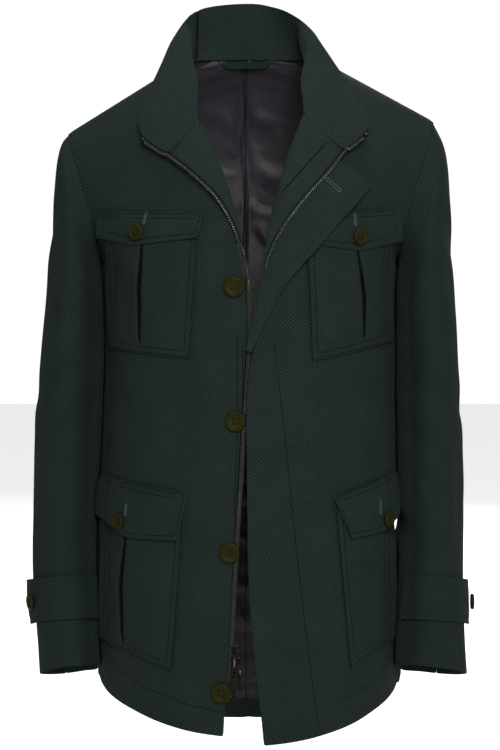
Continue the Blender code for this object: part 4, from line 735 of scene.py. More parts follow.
def satin(name):
    """Twill satin of the lining."""
    dark, light = (tuple(c * tone for c in bpy.context.scene.jacket_cloth.lining) for tone in (0.75, 1.3))
    material, tree, shader = new_material(name)
    lengths, hollow = cloth_inputs(tree)
    soft = noise(tree, lengths, 34, 4.0, 0.55).outputs["Fac"]
    fine = noise(tree, lengths, 1400, 2.0, 0.6).outputs["Fac"]
    # Painted shade: the mask darkens the satin towards near black.
    colour = mix_colour(tree, math_node(tree, "MULTIPLY", hollow, 0.9), mix_colour(tree, soft, dark, light),
                        (0.001, 0.001, 0.0013))
    rough = add_node(tree, "MapRange", {"Value": soft, "To Min": 0.42, "To Max": 0.6})
    both = math_node(tree, "ADD", math_node(tree, "MULTIPLY", soft, 3.0), math_node(tree, "MULTIPLY", fine, 0.12))
    set_inputs(tree, shader, {
        "Base Color": colour, "Roughness": rough.outputs[0], "Normal": bump_normal(tree, both, 0.35, 0.0012),
        "Specular IOR Level": 0.42, "Sheen Weight": 0.12, "Sheen Roughness": 0.35})
    return material


def hard_finish(name, group, colour, worn, metallic, low, high, scale, gloss, bump):
    """Horn, metal or thread finish with slow changes of tone."""
    material, tree, shader = new_material(name)
    marks = add_node(tree, "Group", node_tree=group)
    set_inputs(tree, marks, {"Place": add_node(tree, "TexCoord").outputs["Object"], "Scale": scale, "Color": colour,
                             "Worn color": worn, "Low roughness": low, "High roughness": high})
    set_inputs(tree, shader, {
        "Base Color": marks.outputs["Color"], "Roughness": marks.outputs["Roughness"], "Metallic": metallic,
        "Specular IOR Level": gloss, "Normal": bump_normal(tree, marks.outputs["Height"], bump, 0.0003)})
    return material


WOOLS = {       # share of the weave's pitch, turn in degrees, contrast and tone
    "front_wool": (1.0, -2, 0.62, 1.0), "right_sleeve_wool": (1.0, -6, 0.6, 0.95),
    "left_sleeve_wool": (1.0, 8, 0.6, 0.95), "collar_wool": (0.88, 44, 0.68, 1.04),
    "facing_wool": (0.82, 52, 0.68, 1.04),
}
FINISHES = {    # colour, worn colour, metallic, lowest and highest roughness, scale of the marks, gloss, bump
    "seam_thread": ((0.0015, 0.003, 0.0027), (0.004, 0.007, 0.006), 0, 0.7, 0.9, 900, 0.1, 0.3),
    "button_thread": ((0.009, 0.010, 0.008), (0.03, 0.032, 0.028), 0, 0.6, 0.85, 900, 0.2, 0.4),
    # Painted shade: dark flat strips for the shade in pressed seams and buttonhole slits.
    "painted_groove_shade": ((0.0035, 0.0065, 0.006), (0.006, 0.011, 0.010), 0, 0.85, 0.95, 900, 0.05, 0.3),
    "nickel": ((0.135, 0.128, 0.108), (0.25, 0.24, 0.205), 1, 0.25, 0.45, 400, 0.5, 0.05),
    "gunmetal": ((0.009, 0.009, 0.0085), (0.032, 0.031, 0.029), 1, 0.14, 0.36, 300, 0.5, 0.05),
    "zip_tape": ((0.020, 0.024, 0.019), (0.036, 0.041, 0.034), 0, 0.75, 0.95, 2200, 0.1, 0.6),
}
MATERIALS = {}


def make_materials():
    """Make all materials, once."""
    if MATERIALS:
        return
    pitch, trims = bpy.context.scene.jacket_cloth.weave_pitch, bpy.context.scene.jacket_trims
    weave, smudges = birdseye_group(), smudge_group()
    for name, (share, turn, contrast, tone) in WOOLS.items():
        MATERIALS[name] = wool(name, weave, pitch * share, math.radians(turn), contrast, tone)
    MATERIALS["lining_satin"] = satin("lining_satin")
    horn, thread = tuple(trims.horn), tuple(trims.buttonhole_thread)
    chosen = {"horn": (horn, tuple(c * 1.35 for c in horn), 0, 0.42, 0.6, 150, 0.1, 0.08),
              "buttonhole_thread": (thread, tuple(c * 1.25 for c in thread), 0, 0.6, 0.85, 900, 0.2, 0.4)}
    for name, finish in {**FINISHES, **chosen}.items():
        MATERIALS[name] = hard_finish(name, smudges, *finish)


# ---------------------------------------------------------------- settings

def length_setting(name, description, default, low, high, precision=4):
    return FloatProperty(name=name, description=description, default=default, min=low, max=high,
                         unit="LENGTH", precision=precision)


def colour_setting(name, description, default):
    return FloatVectorProperty(name=name, description=description, subtype="COLOR", default=default, min=0, max=1)


class JacketCloth(bpy.types.PropertyGroup):
    """Weave and colours of the cloth."""
    weave_pitch: length_setting("Weave pitch", "Distance between two dots of the birdseye weave",
                                0.0042, 0.001, 0.01, 5)
    ground: colour_setting("Ground", "Colour between the dots", (0.0108, 0.0198, 0.0178))
    light_yarn: colour_setting("Light yarn", "Colour of the lighter dots", (0.050, 0.058, 0.030))
    deep_yarn: colour_setting("Deep yarn", "Colour of the bluer dots", (0.0030, 0.022, 0.028))
    lining: colour_setting("Lining", "Colour of the satin lining", (0.036, 0.034, 0.042))
    nap: FloatProperty(name="Nap", description="How strongly the raised fibres catch the light",
                       default=0.025, min=0, max=1, subtype="FACTOR")
    fold_strength: FloatProperty(name="Folds", description="Share of the full depth of the folds",
                                 default=1.0, min=0, max=2, subtype="FACTOR")


class JacketTrims(bpy.types.PropertyGroup):
    """Buttons, zip and thread."""
    front_button: length_setting("Front button", "Diameter of the five front buttons", 0.0235, 0.01, 0.04)
    small_button: length_setting("Small button", "Diameter of the pocket and cuff buttons", 0.019, 0.01, 0.03)
    stitch_pitch: length_setting("Stitch", "Length of one stitch and its gap", 0.0034, 0.001, 0.01)
    tooth_pitch: length_setting("Zip tooth", "Distance between two teeth of one side", 0.0028, 0.001, 0.006)
    horn: colour_setting("Button colour", "Colour of the horn buttons", (0.0175, 0.0170, 0.0012))
    buttonhole_thread: colour_setting("Buttonhole thread", "Colour of the light thread", (0.058, 0.086, 0.066))


class JacketStage(bpy.types.PropertyGroup):
    """Floor, light and camera."""
    floor_colour: colour_setting("Floor", "Colour of the floor", (0.80, 0.80, 0.80))
    key_power: FloatProperty(name="Key light", description="Power of the large front light in watts",
                             default=38.0, min=0, max=500, unit="POWER")
    camera_distance: length_setting("Camera distance", "From the camera to the wearer's shoulders", 2.3, 1, 6, 2)
    camera_fall: FloatProperty(name="Camera fall", description="How far the view tilts down",
                               default=math.atan(155 / 1932), min=0, max=0.5, unit="ROTATION")


PIXELS_PER_METRE = 840          # at the wearer's shoulders
PICTURE_HEIGHT = 750            # pixels
SENSOR = 36
CAMERA_HEIGHT = -0.161
CAMERA_ASIDE = 0.0012
FLOOR_DROP = 0.16               # from the hem down to the floor


# ---------------------------------------------------------------- operators

class JACKET_OT_stage(bpy.types.Operator):
    """Set up the floor, the soft studio light and the camera"""
    bl_idname = "jacket.stage"
    bl_label = "Stage"

    def execute(self, context):
        settings, scene = context.scene.jacket_stage, context.scene
        low = CAD_BOX[0][2] - FLOOR_DROP
        build = bmesh.new()
        build.faces.new([build.verts.new((x, y, low)) for x, y in ((-6, -5), (6, -5), (6, 6), (-6, 6))])
        mesh = finish_mesh(build, "floor")
        material, tree, shader = new_material("studio_floor")
        cloud = noise(tree, add_node(tree, "TexCoord").outputs["Object"], 3.0, 2.0)
        colour = mix_colour(tree, cloud.outputs["Fac"], tuple(settings.floor_colour),
                            tuple(c * 0.985 for c in settings.floor_colour))
        seen = add_node(tree, "LightPath").outputs["Is Camera Ray"]
        set_inputs(tree, shader, {"Base Color": colour, "Emission Color": colour, "Roughness": 0.9,
                                  "Emission Strength": math_node(tree, "MULTIPLY", seen, 0.9),
                                  "Specular IOR Level": 0.1})
        mesh.materials.append(material)
        floor = bpy.data.objects.new("floor", mesh)
        scene.collection.objects.link(floor)

        world = bpy.data.worlds.new("studio")
        scene.world = world
        world.use_nodes = True
        tree = world.node_tree
        tree.nodes.clear()
        path = add_node(tree, "LightPath")
        soft = add_node(tree, "Background", {"Strength": 0.13, "Color": (0.96, 0.98, 1.0)})
        clear = add_node(tree, "Background", {"Strength": 1.05, "Color": (1.0, 1.0, 1.0)})
        mix = add_node(tree, "MixShader", {0: path.outputs["Is Camera Ray"], 1: soft.outputs[0], 2: clear.outputs[0]})
        add_node(tree, "OutputWorld", {0: mix.outputs[0]})

        aim = Vector((0, -0.05, -0.33))
        for name, where, size, share in (
                ("key_light", (0.25, -2.3, 0.75), 0.9, 1.0), ("left_fill", (2.2, -0.9, 0.2), 1.0, 0.10),
                ("right_fill", (-2.2, -0.9, 0.2), 1.0, 0.07), ("top_light", (0.0, 0.1, 2.0), 1.2, 0.45),
                ("back_light", (0.4, 2.5, 0.7), 1.5, 1.2)):
            light = bpy.data.lights.new(name, "AREA")
            light.size, light.energy = size, settings.key_power * share
            lamp = bpy.data.objects.new(name, light)
            lamp.location = where
            lamp.rotation_euler = (aim - Vector(where)).to_track_quat("-Z", "Y").to_euler()
            scene.collection.objects.link(lamp)

        camera = bpy.data.cameras.new("camera")
        camera.sensor_width = SENSOR
        camera.lens = (PIXELS_PER_METRE * settings.camera_distance / math.cos(settings.camera_fall)
                       * SENSOR / PICTURE_HEIGHT)
        holder = bpy.data.objects.new("camera", camera)
        holder.location = (CAMERA_ASIDE, -settings.camera_distance, CAMERA_HEIGHT)
        holder.rotation_euler = (math.pi / 2 - settings.camera_fall, 0, 0)
        scene.collection.objects.link(holder)
        scene.camera = holder
        scene.view_settings.view_transform = "Standard"
        scene.view_settings.look = "None"
        return {"FINISHED"}


def calm_body(points):
    return body_shift(points, bpy.context.scene.jacket_cloth.fold_strength)


def panel_shift(points):
    """The body's folds; the top edge closes up to the collar's seam."""
    away, way = nearest_on(COLLAR_TREE, points, 7 * MM)
    close = np.clip(away - 0.15 * MM, 0, None) * (1 - ease(2.5 * MM, 6 * MM, away))
    return calm_body(points) + way * close[:, None]


def back_shift(name):
    """The back's folds; both halves meet in their seam, and their top reaches under the collar."""
    side = LEFT if name.endswith("left") else RIGHT
    levels = np.arange(-0.80, 0.04, 0.02)

    def shift(points):
        x, z = points[:, 0] * side, points[:, 2]
        behind = points[:, 1] > 0.03
        edges = [x[behind & (np.abs(z - level) < 0.012)].min(initial=0.004) for level in levels]
        edge = np.interp(z, levels, edges)
        moved = panel_shift(points)
        near = (points[:, 1] > 0) * (1 - ease(0.0, 0.028, x - edge))
        over = 0.12 * MM - 1.6 * MM * ease(-0.745, -0.785, z)       # round corners at the hem lie together
        moved[:, 0] -= side * (edge - over) * near
        moved[:, 2] += 6.5 * MM * bell(x, 0, 0.011) * ease(0.008, 0.024, z) * (points[:, 1] > 0)
        return moved
    return shift


SHELL_CUTS = {      # width and length of the cloth each piece is cut from
    "front_right": (0.28, 0.80), "front_left": (0.29, 0.81), "back_right": (0.28, 0.85), "back_left": (0.28, 0.85),
}


class JACKET_OT_shell(bpy.types.Operator):
    """Make the two fronts and the two backs"""
    bl_idname = "jacket.shell"
    bl_label = "Fronts and backs"

    def execute(self, context):
        make_materials()
        for name, flat in SHELL_CUTS.items():
            cloth_piece(name, name + "_cloth", MATERIALS["front_wool"], 2 if name.startswith("back") else 3,
                        back_shift(name) if name.startswith("back") else panel_shift, body_lengths)
        return {"FINISHED"}


class JACKET_OT_sleeves(bpy.types.Operator):
    """Make both sleeves"""
    bl_idname = "jacket.sleeves"
    bl_label = "Sleeves"

    def execute(self, context):
        make_materials()
        strength = context.scene.jacket_cloth.fold_strength
        for side_name, side in SIDES:
            for part, flat in (("upper_sleeve_", (0.24, 0.68)), ("under_sleeve_", (0.14, 0.56))):
                cloth_piece(part + side_name, part + side_name + "_cloth", MATERIALS[side_name + "_sleeve_wool"],
                            3 if part == "upper_sleeve_" else 2,
                            lambda p, side=side: arm_shift(side, p, strength),
                            lambda p, side=side: arm_lengths(side, p))
        return {"FINISHED"}


def collar_fold_and_shade(points):
    """Sharp fold inside the collar, where its right end turns outwards, and a soft one at the left; the mask both
    sinks the fold and paints shade into it.
    """
    x, y, z = points.T
    sharp = bell(x, -0.0625 + 0.02 * (z - 0.06), 0.0017)
    soft = 0.25 * bell(x, 0.057 + 0.12 * (0.09 - z), 0.004)
    return (sharp + soft) * (y > -0.03) * ease(0.025, 0.034, z)


def collar_shift(points):
    """Soft buckles of the collar where it rolls over, and a calm edge at the zip."""
    x, y, z = points.T
    height = unevenness(np.arctan2(x, -y) * 0.09, z, 0.045, 21) * 0.5 * MM * ease(-0.03, 0.01, z)
    return body_way(points) * height[:, None] + np.array((0.3, 1.0, 0.0)) * (collar_fold_and_shade(points) * 2.2 * MM)[:, None]


class JACKET_OT_collar(bpy.types.Operator):
    """Make the stand collar, both turned facings and the fly flap"""
    bl_idname = "jacket.collar"
    bl_label = "Collar and facings"

    def execute(self, context):
        make_materials()
        # The collar's fold mask also gives the painted shade in its fold.
        cloth_piece("collar", "collar_cloth", MATERIALS["collar_wool"], 3, collar_shift, None,
                    collar_fold_and_shade)
        for side_name, _ in SIDES:
            cloth_piece("front_facing_" + side_name, f"front_facing_{side_name}_cloth", MATERIALS["facing_wool"], 2,
                        panel_shift, flat_lengths)
        cloth_piece("fly_flap_left", "fly_flap_left_cloth", MATERIALS["facing_wool"], 2, calm_body, flat_lengths)
        return {"FINISHED"}


def lower_crumple(x, z):
    """Small crumples of the lining below the waist, where it hangs slack."""
    return unevenness(x * 0.7 + z * 0.3, z, 0.012, 33) * ease(0.05, 0.035, np.abs(x))


def lining_painted_shade(points):
    """Painted shade on the lining: deep in the body, in the pleat and in the creases between its crumples."""
    x, _, z = points.T
    deep = 0.68 * ease(-0.10, -0.18, z) + 0.07 * ease(-0.45, -0.56, z)
    deep += ease(-0.43, -0.48, z) * (0.1 + 0.3 * lower_crumple(x, z))
    pleat = 0.75 * bell(x, -0.0075 - 0.003 * np.sin(z * 60), 0.0012) * ease(-0.2, -0.03, z)
    crease = -fold_height(x, z, LINING_FOLDS) / MM * 0.16
    return np.clip(deep + pleat + np.clip(crease, 0, 0.5), 0, 0.93)


BACK_TREE = tree_of("back_right", "back_left")
NECK_SEAM = 31.0 * MM           # height of the seam between back and collar


def back_depth(x, z):
    """How far back the inside of the back lies at places (x, z)."""
    depth = []
    for a, b in zip(x, z):
        hit = BACK_TREE.ray_cast(Vector((a, 0, b)), Vector((0, 1, 0)))
        depth.append(hit[0].y if hit[0] is not None else np.nan)
    return np.array(depth)


def lining_shift(points):
    """The lining reaches the neck seam; its crumples and centre pleat stand out towards the wearer."""
    x, _, z = points.T
    spots = np.arange(0, 0.1, 0.006)
    tops = [z[np.abs(np.abs(x) - spot) < 6 * MM].max(initial=-1) for spot in spots]
    top = np.interp(np.abs(x), spots, tops)
    raised = np.zeros_like(points)
    near = (z > top - 0.05) & (np.abs(x) < 0.085) & (z > -0.06)
    lift = ease(0.05, 0.0, top[near] - z[near]) * np.clip(NECK_SEAM - top[near], 0, 0.04)
    lift *= 1 - ease(0.068, 0.084, np.abs(x[near]))
    raised[near, 2] = lift
    moved = back_depth(x[near], z[near] + lift) - back_depth(x[near], z[near])
    raised[near, 1] = np.where(np.isnan(moved), -0.35 * lift, np.clip(moved, -0.03, 0.03))
    height = fold_height(x, z, LINING_FOLDS) + unevenness(x, z, 0.04, 31) * 0.5 * MM
    height -= ease(-0.43, -0.48, z) * lower_crumple(x, z) * 1.3 * MM
    calm = ease(0.0, 0.010, NECK_SEAM + 2 * MM - z - raised[:, 2])
    return raised - body_way(points) * (np.clip(height, -0.7 * MM, 9 * MM) * calm)[:, None]


class JACKET_OT_lining(bpy.types.Operator):
    """Make the satin lining of the back and the hanger tab"""
    bl_idname = "jacket.lining"
    bl_label = "Lining and hanger tab"

    def execute(self, context):
        make_materials()
        for side_name, _ in SIDES:
            cloth_piece("back_lining_" + side_name, f"back_lining_{side_name}_cloth", MATERIALS["lining_satin"], 3,
                        lining_shift, flat_lengths,
                        lining_painted_shade, narrow=lambda p: ((p[:, 2] > -0.2) & (np.abs(p[:, 0]) < 0.07))
                        | ((p[:, 2] < -0.42) & (np.abs(p[:, 0]) < 0.04)))
        cloth_piece("hanger_tab", "hanger_tab_cloth", MATERIALS["collar_wool"], 2, None, flat_lengths)
        return {"FINISHED"}


# Patch pockets: side; outer top, inner top, outer low and inner low corner as distance out and height;
# the pleat's line from top to bottom; width and length of the cut.
POCKETS = {
    "chest_pocket_right": (RIGHT, (163, -184), (56, -172), (161, -310), (66, -317),
                           ((120, -186), (124, -244), (124, -306)), (0.14, 0.16)),
    "chest_pocket_left": (LEFT, (163, -180), (64, -178), (162, -303), (70, -320),
                          ((122, -190), (130, -250), (131, -300)), (0.135, 0.16)),
    "lower_pocket_right": (RIGHT, (170, -480), (73, -490), (172, -652), (87, -675),
                           ((141, -520), (147, -582), (146, -656)), (0.14, 0.21)),
    "lower_pocket_left": (LEFT, (165, -478), (98, -490), (168, -650), (115, -677), (), (0.12, 0.21)),
}
# Flaps: side; upper outer, upper inner, lower outer and lower inner corner; the point's share of the
# way between the lower corners and its drop; width and length of the cut.
FLAPS = {
    "chest_flap_right": (RIGHT, (171, -152), (48, -153), (172, -179), (56, -181), 0.38, 9, (0.15, 0.05)),
    "chest_flap_left": (LEFT, (170, -149), (62, -154), (174, -183), (68, -188), 0.47, 9, (0.14, 0.055)),
    "lower_flap_right": (RIGHT, (168, -459), (68, -470), (174.5, -505), (79, -523), 0.38, 14, (0.13, 0.09)),
    "lower_flap_left": (LEFT, (166, -457), (94, -475), (172, -505), (112, -524), 0.30, 10, (0.11, 0.08)),
}


def flap_outline(name):
    """The two upper corners of a flap, and its free edge from the outer one round the point."""
    _, a, b, c, d, share, drop, _ = FLAPS[name]
    tip = (c[0] + (d[0] - c[0]) * share, c[1] + (d[1] - c[1]) * share - drop)
    return (a, b), (a, c, tip, d, b)


def line_distance(x, z, line):
    """Distance in millimetres from points (x, z) to a polyline, and the share along it."""
    best, share = np.full(len(x), 1e3), np.zeros(len(x))
    total = len(line) - 1
    for k, ((x0, z0), (x1, z1)) in enumerate(zip(line, line[1:])):
        dx, dz = x1 - x0, z1 - z0
        t = np.clip(((x - x0) * dx + (z - z0) * dz) / (dx * dx + dz * dz), 0, 1)
        d = np.hypot(x - x0 - t * dx, z - z0 - t * dz)
        near = d < best
        best[near], share[near] = d[near], ((k + t) / total)[near]
    return best, share


def flat_place(points, side):
    """Millimetres out from the middle and height of points."""
    return points[:, 0] * side / MM, points[:, 2] / MM


def pocket_shift(name):
    side, a, b, c, d, pleat, _ = POCKETS[name]

    def shift(points):
        x, z = flat_place(points, side)
        edge, _ = line_distance(x, z, (a, c, d, b))
        height = ease(5, 22, edge) * 2.2 * MM - 0.55 * MM * bell(edge, 4.5, 1.8)
        if pleat:
            off, share = line_distance(x, z, pleat)
            opening = np.sin(np.pi * np.clip(share * 0.92 + 0.08, 0, 1)) ** 0.7
            height -= opening * (3.2 * MM * bell(off, 0, 1.9) - 1.2 * MM * bell(off, 6, 4.0))
        return body_way(points) * height[:, None] + calm_body(points)
    return shift


def pleat_painted_shade(name):
    """Painted shade inside the opening of a pocket's pleat."""
    side, pleat = POCKETS[name][0], POCKETS[name][5]

    def painted_shades(points):
        off, share = line_distance(*flat_place(points, side), pleat)
        half = 0.35 + 1.5 * np.sin(np.pi * np.clip(share, 0, 1)) ** 0.8
        ends = ease(0, 0.04, share) * (1 - ease(0.93, 1, share))
        return ends * (1 - ease(0, 1.1, off - half)) * (points[:, 1] < 0)
    return painted_shades if pleat else None


def near_pleat(name):
    """Which places lie by a pocket's pleat."""
    side, pleat = POCKETS[name][0], POCKETS[name][5]

    def narrow(points):
        off, _ = line_distance(*flat_place(points, side), pleat)
        return (off < 7) & (points[:, 1] < 0)
    return narrow if pleat else None


def flap_shift(name):
    side = FLAPS[name][0]
    top, free = flap_outline(name)

    def shift(points):
        x, z = flat_place(points, side)
        edge, _ = line_distance(x, z, free)
        crown, _ = line_distance(x, z, top)
        height = ease(4, 16, edge) * 0.9 * MM - 0.5 * MM * (bell(edge, 5, 1.7) + bell(crown, 5, 1.7))
        height += unevenness(points[:, 0], points[:, 2], 0.03, 41) * 0.35 * MM * ease(3, 20, crown)
        return body_way(points) * height[:, None] + calm_body(points)
    return shift


class JACKET_OT_pockets(bpy.types.Operator):
    """Make the four patch pockets and their flaps"""
    bl_idname = "jacket.pockets"
    bl_label = "Pockets and flaps"

    def execute(self, context):
        make_materials()
        for table, shift in ((POCKETS, pocket_shift), (FLAPS, flap_shift)):
            for name, row in table.items():
                pleated = table is POCKETS
                cloth_piece(name, name + "_cloth", MATERIALS["front_wool"], 3, shift(name), body_lengths,
                            pleat_painted_shade(name) if pleated else None, narrow=near_pleat(name) if pleated else None)
        return {"FINISHED"}


class JACKET_OT_cuffs(bpy.types.Operator):
    """Make the buttoned straps of the cuffs"""
    bl_idname = "jacket.cuffs"
    bl_label = "Cuff straps"

    def execute(self, context):
        make_materials()
        strength = context.scene.jacket_cloth.fold_strength
        for side_name, side in SIDES:
            name = "cuff_strap_" + side_name

            def shift(points, side=side):
                z = points[:, 2] / MM
                edge = np.minimum(-590 - z, z + 642)
                height = -0.5 * MM * bell(edge, 5, 1.7) + 0.5 * MM * ease(4, 16, edge)
                return arm_place(side, points)[1] * height[:, None] + arm_shift(side, points, strength)

            cloth_piece(name, name + "_cloth", MATERIALS[side_name + "_sleeve_wool"], 3, shift,
                        lambda p, side=side: arm_lengths(side, p))
        return {"FINISHED"}


# ---------------------------------------------------------------- buttons

def button_frame(name, side):
    """Middle of a button's solid, the direction out of it, one across it and its thickness."""
    points = np.array([v.co[:] for v in NODES[name].data.vertices])
    middle = points.mean(0)
    out = np.linalg.svd(points - middle, full_matrices=False)[2][2]
    if out @ np.array((side * 0.6 if "cuff" in name else 0.0, -1.0, 0.0)) < 0:
        out = -out
    depth = (points - middle) @ out
    across = np.cross((0.0, 0.0, 1.0), out)
    return middle + out * (depth.min() + depth.max()) / 2, out, across / np.linalg.norm(across), float(np.ptp(depth))


# Half the section of a turned button: share of its radius and of its thickness, from the middle of the face.
BUTTON_FACE = [(r, 0.16) for r in (0.0, 0.05, 0.10, 0.14, 0.18, 0.22, 0.26)]
BUTTON_FACE += [(0.30, 0.165), (0.34, 0.17), (0.38, 0.18), (0.44, 0.21), (0.52, 0.25), (0.60, 0.29)]
BUTTON_RIM = [(0.66, 0.34), (0.71, 0.43), (0.75, 0.5), (0.80, 0.52), (0.86, 0.5), (0.92, 0.42), (0.97, 0.26),
              (1.0, 0.04), (0.985, -0.14), (0.93, -0.34), (0.82, -0.46), (0.55, -0.5), (0.0, -0.5)]
BUTTON_STEPS = 72
HOLE_DEPTH = 1.5 * MM


def button_mesh(name, middle, out, across, diameter, thick):
    """Turned button with a raised rim, a dished middle, four holes and its thread."""
    up = np.cross(out, across)
    radius = diameter / 2
    hole = 0.155 * radius * 1.35        # from the middle to a hole, each way
    holes = [(hole * sx, hole * sy) for sx in (-1, 1) for sy in (-1, 1)]
    turned = bmesh.new()
    rings = []
    for i, (r, h) in enumerate(BUTTON_FACE + BUTTON_RIM):
        ring = []
        for k in range(BUTTON_STEPS if r else 1):
            a = math.tau * k / BUTTON_STEPS
            px, py = r * radius * math.cos(a), r * radius * math.sin(a)
            depth = h * thick
            if r and i < len(BUTTON_FACE):
                for hx, hy in holes:
                    depth -= HOLE_DEPTH * float(1 - ease(0.75 * MM, 1.15 * MM, math.hypot(px - hx, py - hy)))
            ring.append(turned.verts.new(Vector(middle + across * px + up * py + out * depth)))
        rings.append(ring)
    for one, two in zip(rings, rings[1:]):
        for k in range(BUTTON_STEPS):
            corners = dict.fromkeys((one[k % len(one)], one[(k + 1) % len(one)],
                                     two[(k + 1) % len(two)], two[k % len(two)]))
            turned.faces.new(list(corners))
    thread = bmesh.new()
    for first, last in ((0, 3), (1, 2), (0, 1), (2, 3)):
        (ax, ay), (bx, by) = holes[first], holes[last]
        path = []
        for t, lift in ((0, -0.25), (0.15, 0.12), (0.5, 0.34), (0.85, 0.12), (1, -0.25)):
            px, py = ax + (bx - ax) * t, ay + (by - ay) * t
            path.append(middle + across * px + up * py + out * (BUTTON_FACE[0][1] * thick + lift * MM))
        strand(thread, path, [out] * 5, 0.25 * MM)
    return finish_mesh(turned, name), finish_mesh(thread, name + "_thread")


BUTTONS = [(f"front_button_{k}", "front_button", RIGHT) for k in range(1, 6)]
BUTTONS += [(f"{row}_button_{name}", "small_button", side)
            for row in ("chest", "lower", "cuff") for name, side in SIDES]


class JACKET_OT_buttons(bpy.types.Operator):
    """Make the eleven horn buttons with their thread"""
    bl_idname = "jacket.buttons"
    bl_label = "Buttons"

    def execute(self, context):
        make_materials()
        trims = context.scene.jacket_trims
        strength = context.scene.jacket_cloth.fold_strength
        for name, kind, side in BUTTONS:
            middle, out, across, thick = button_frame(name, side)
            spot = middle[None]
            move = arm_shift(side, spot, strength) if "cuff" in name else calm_body(spot)
            middle = middle + move[0] + out * (1.1 * MM if kind == "small_button" else 0.2 * MM)
            body, thread = button_mesh(name + "_horn", middle, out, across, getattr(trims, kind), thick)
            add_piece(name + "_horn", body, MATERIALS["horn"], replaces=(name,))
            add_piece(name + "_thread", thread, MATERIALS["button_thread"])
        return {"FINISHED"}


# ---------------------------------------------------------------- zip

def tape_sections(name):
    """Sections of a zip tape from its top: four corners each, as pairs over the tape's thickness."""
    build = clean_copy(name)
    build.verts.ensure_lookup_table()
    top = max(v.co.z for v in build.verts)
    start = [v for v in build.verts if v.co.z > top - 4.5 * MM][:4]
    start = sorted(build.verts, key=lambda v: -v.co.z)[:4] if len(start) < 4 else start
    seen, layer, layers = set(start), start, [start]
    while True:
        following = []
        for vert in layer:
            for edge in vert.link_edges:
                other = edge.other_vert(vert)
                if other not in seen:
                    seen.add(other)
                    following.append(other)
        if not following:
            break
        layer = following
        layers.append(layer)
    sections = []
    for layer in layers:
        if len(layer) == 4:
            co = [np.array(v.co[:]) for v in layer]
            pair, *rest = sorted(range(1, 4), key=lambda k: np.linalg.norm(co[k] - co[0]))
            sections.append(((co[0] + co[pair]) / 2, (co[rest[0]] + co[rest[1]]) / 2))
    build.free()
    return sections


def tape_free_edge(name, tree):
    """Free edge of a tape and the direction from the cloth to it, from the top down."""
    edge, ways = [], []
    for one, two in tape_sections(name):
        near = [tree.find_nearest(Vector(p))[3] for p in (one, two)]
        inner, free = (one, two) if near[0] < near[1] else (two, one)
        edge.append(free)
        ways.append((free - inner) / np.linalg.norm(free - inner))
    return np.array(edge), np.array(ways)


# Sections of a tooth from the tape outwards, each with its half width and half thickness, in millimetres.
TOOTH = ((-0.6, 0.50, 0.45), (-0.35, 0.62, 0.78), (0.25, 0.62, 0.85), (0.62, 0.5, 0.72), (0.85, 0.32, 0.45))
OCTAGON = ((-1, -0.6), (-0.6, -1), (0.6, -1), (1, -0.6), (1, 0.6), (0.6, 1), (-0.6, 1), (-1, 0.6))


def zip_teeth(name, edge, ways, pitch):
    """Cast teeth that clasp the tape's bead at even spacing."""
    build = bmesh.new()
    at = lengths_along(edge)
    for where in np.arange(4 * MM, at[-1] - 2 * MM, pitch):
        p = value_at(where, at, edge)
        along = value_at(where + 1 * MM, at, edge) - p
        along /= np.linalg.norm(along)
        across = value_at(where, at, ways)
        across -= along * (across @ along)
        across /= np.linalg.norm(across)
        spot, out = p - across * 0.3 * MM, np.cross(along, across)
        skin(build, [[build.verts.new(Vector(spot + across * s * 1.5 * MM + along * a * wide * MM
                                             + out * b * thick * MM)) for a, b in OCTAGON]
                     for s, wide, thick in TOOTH])
    return finish_mesh(build, name)


def upright_place(origin):
    """Gives the points of a flat piece that faces the front: across, up and out from an origin."""
    origin = Vector(origin)
    return lambda a, b, depth: origin + Vector((a, -depth, b))


def cast_block(name, mesh_name, power, edge):
    """A rounded block of metal in the place of a small solid."""
    low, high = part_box(name)
    half = (high - low) / 2
    build = bmesh.new()
    slab(build, oval(half.x, half.z, power=power), None, -half.y, half.y, upright_place((low + high) / 2), edge)
    add_piece(name + "_cast", finish_mesh(build, mesh_name), MATERIALS["gunmetal"], replaces=(name,))


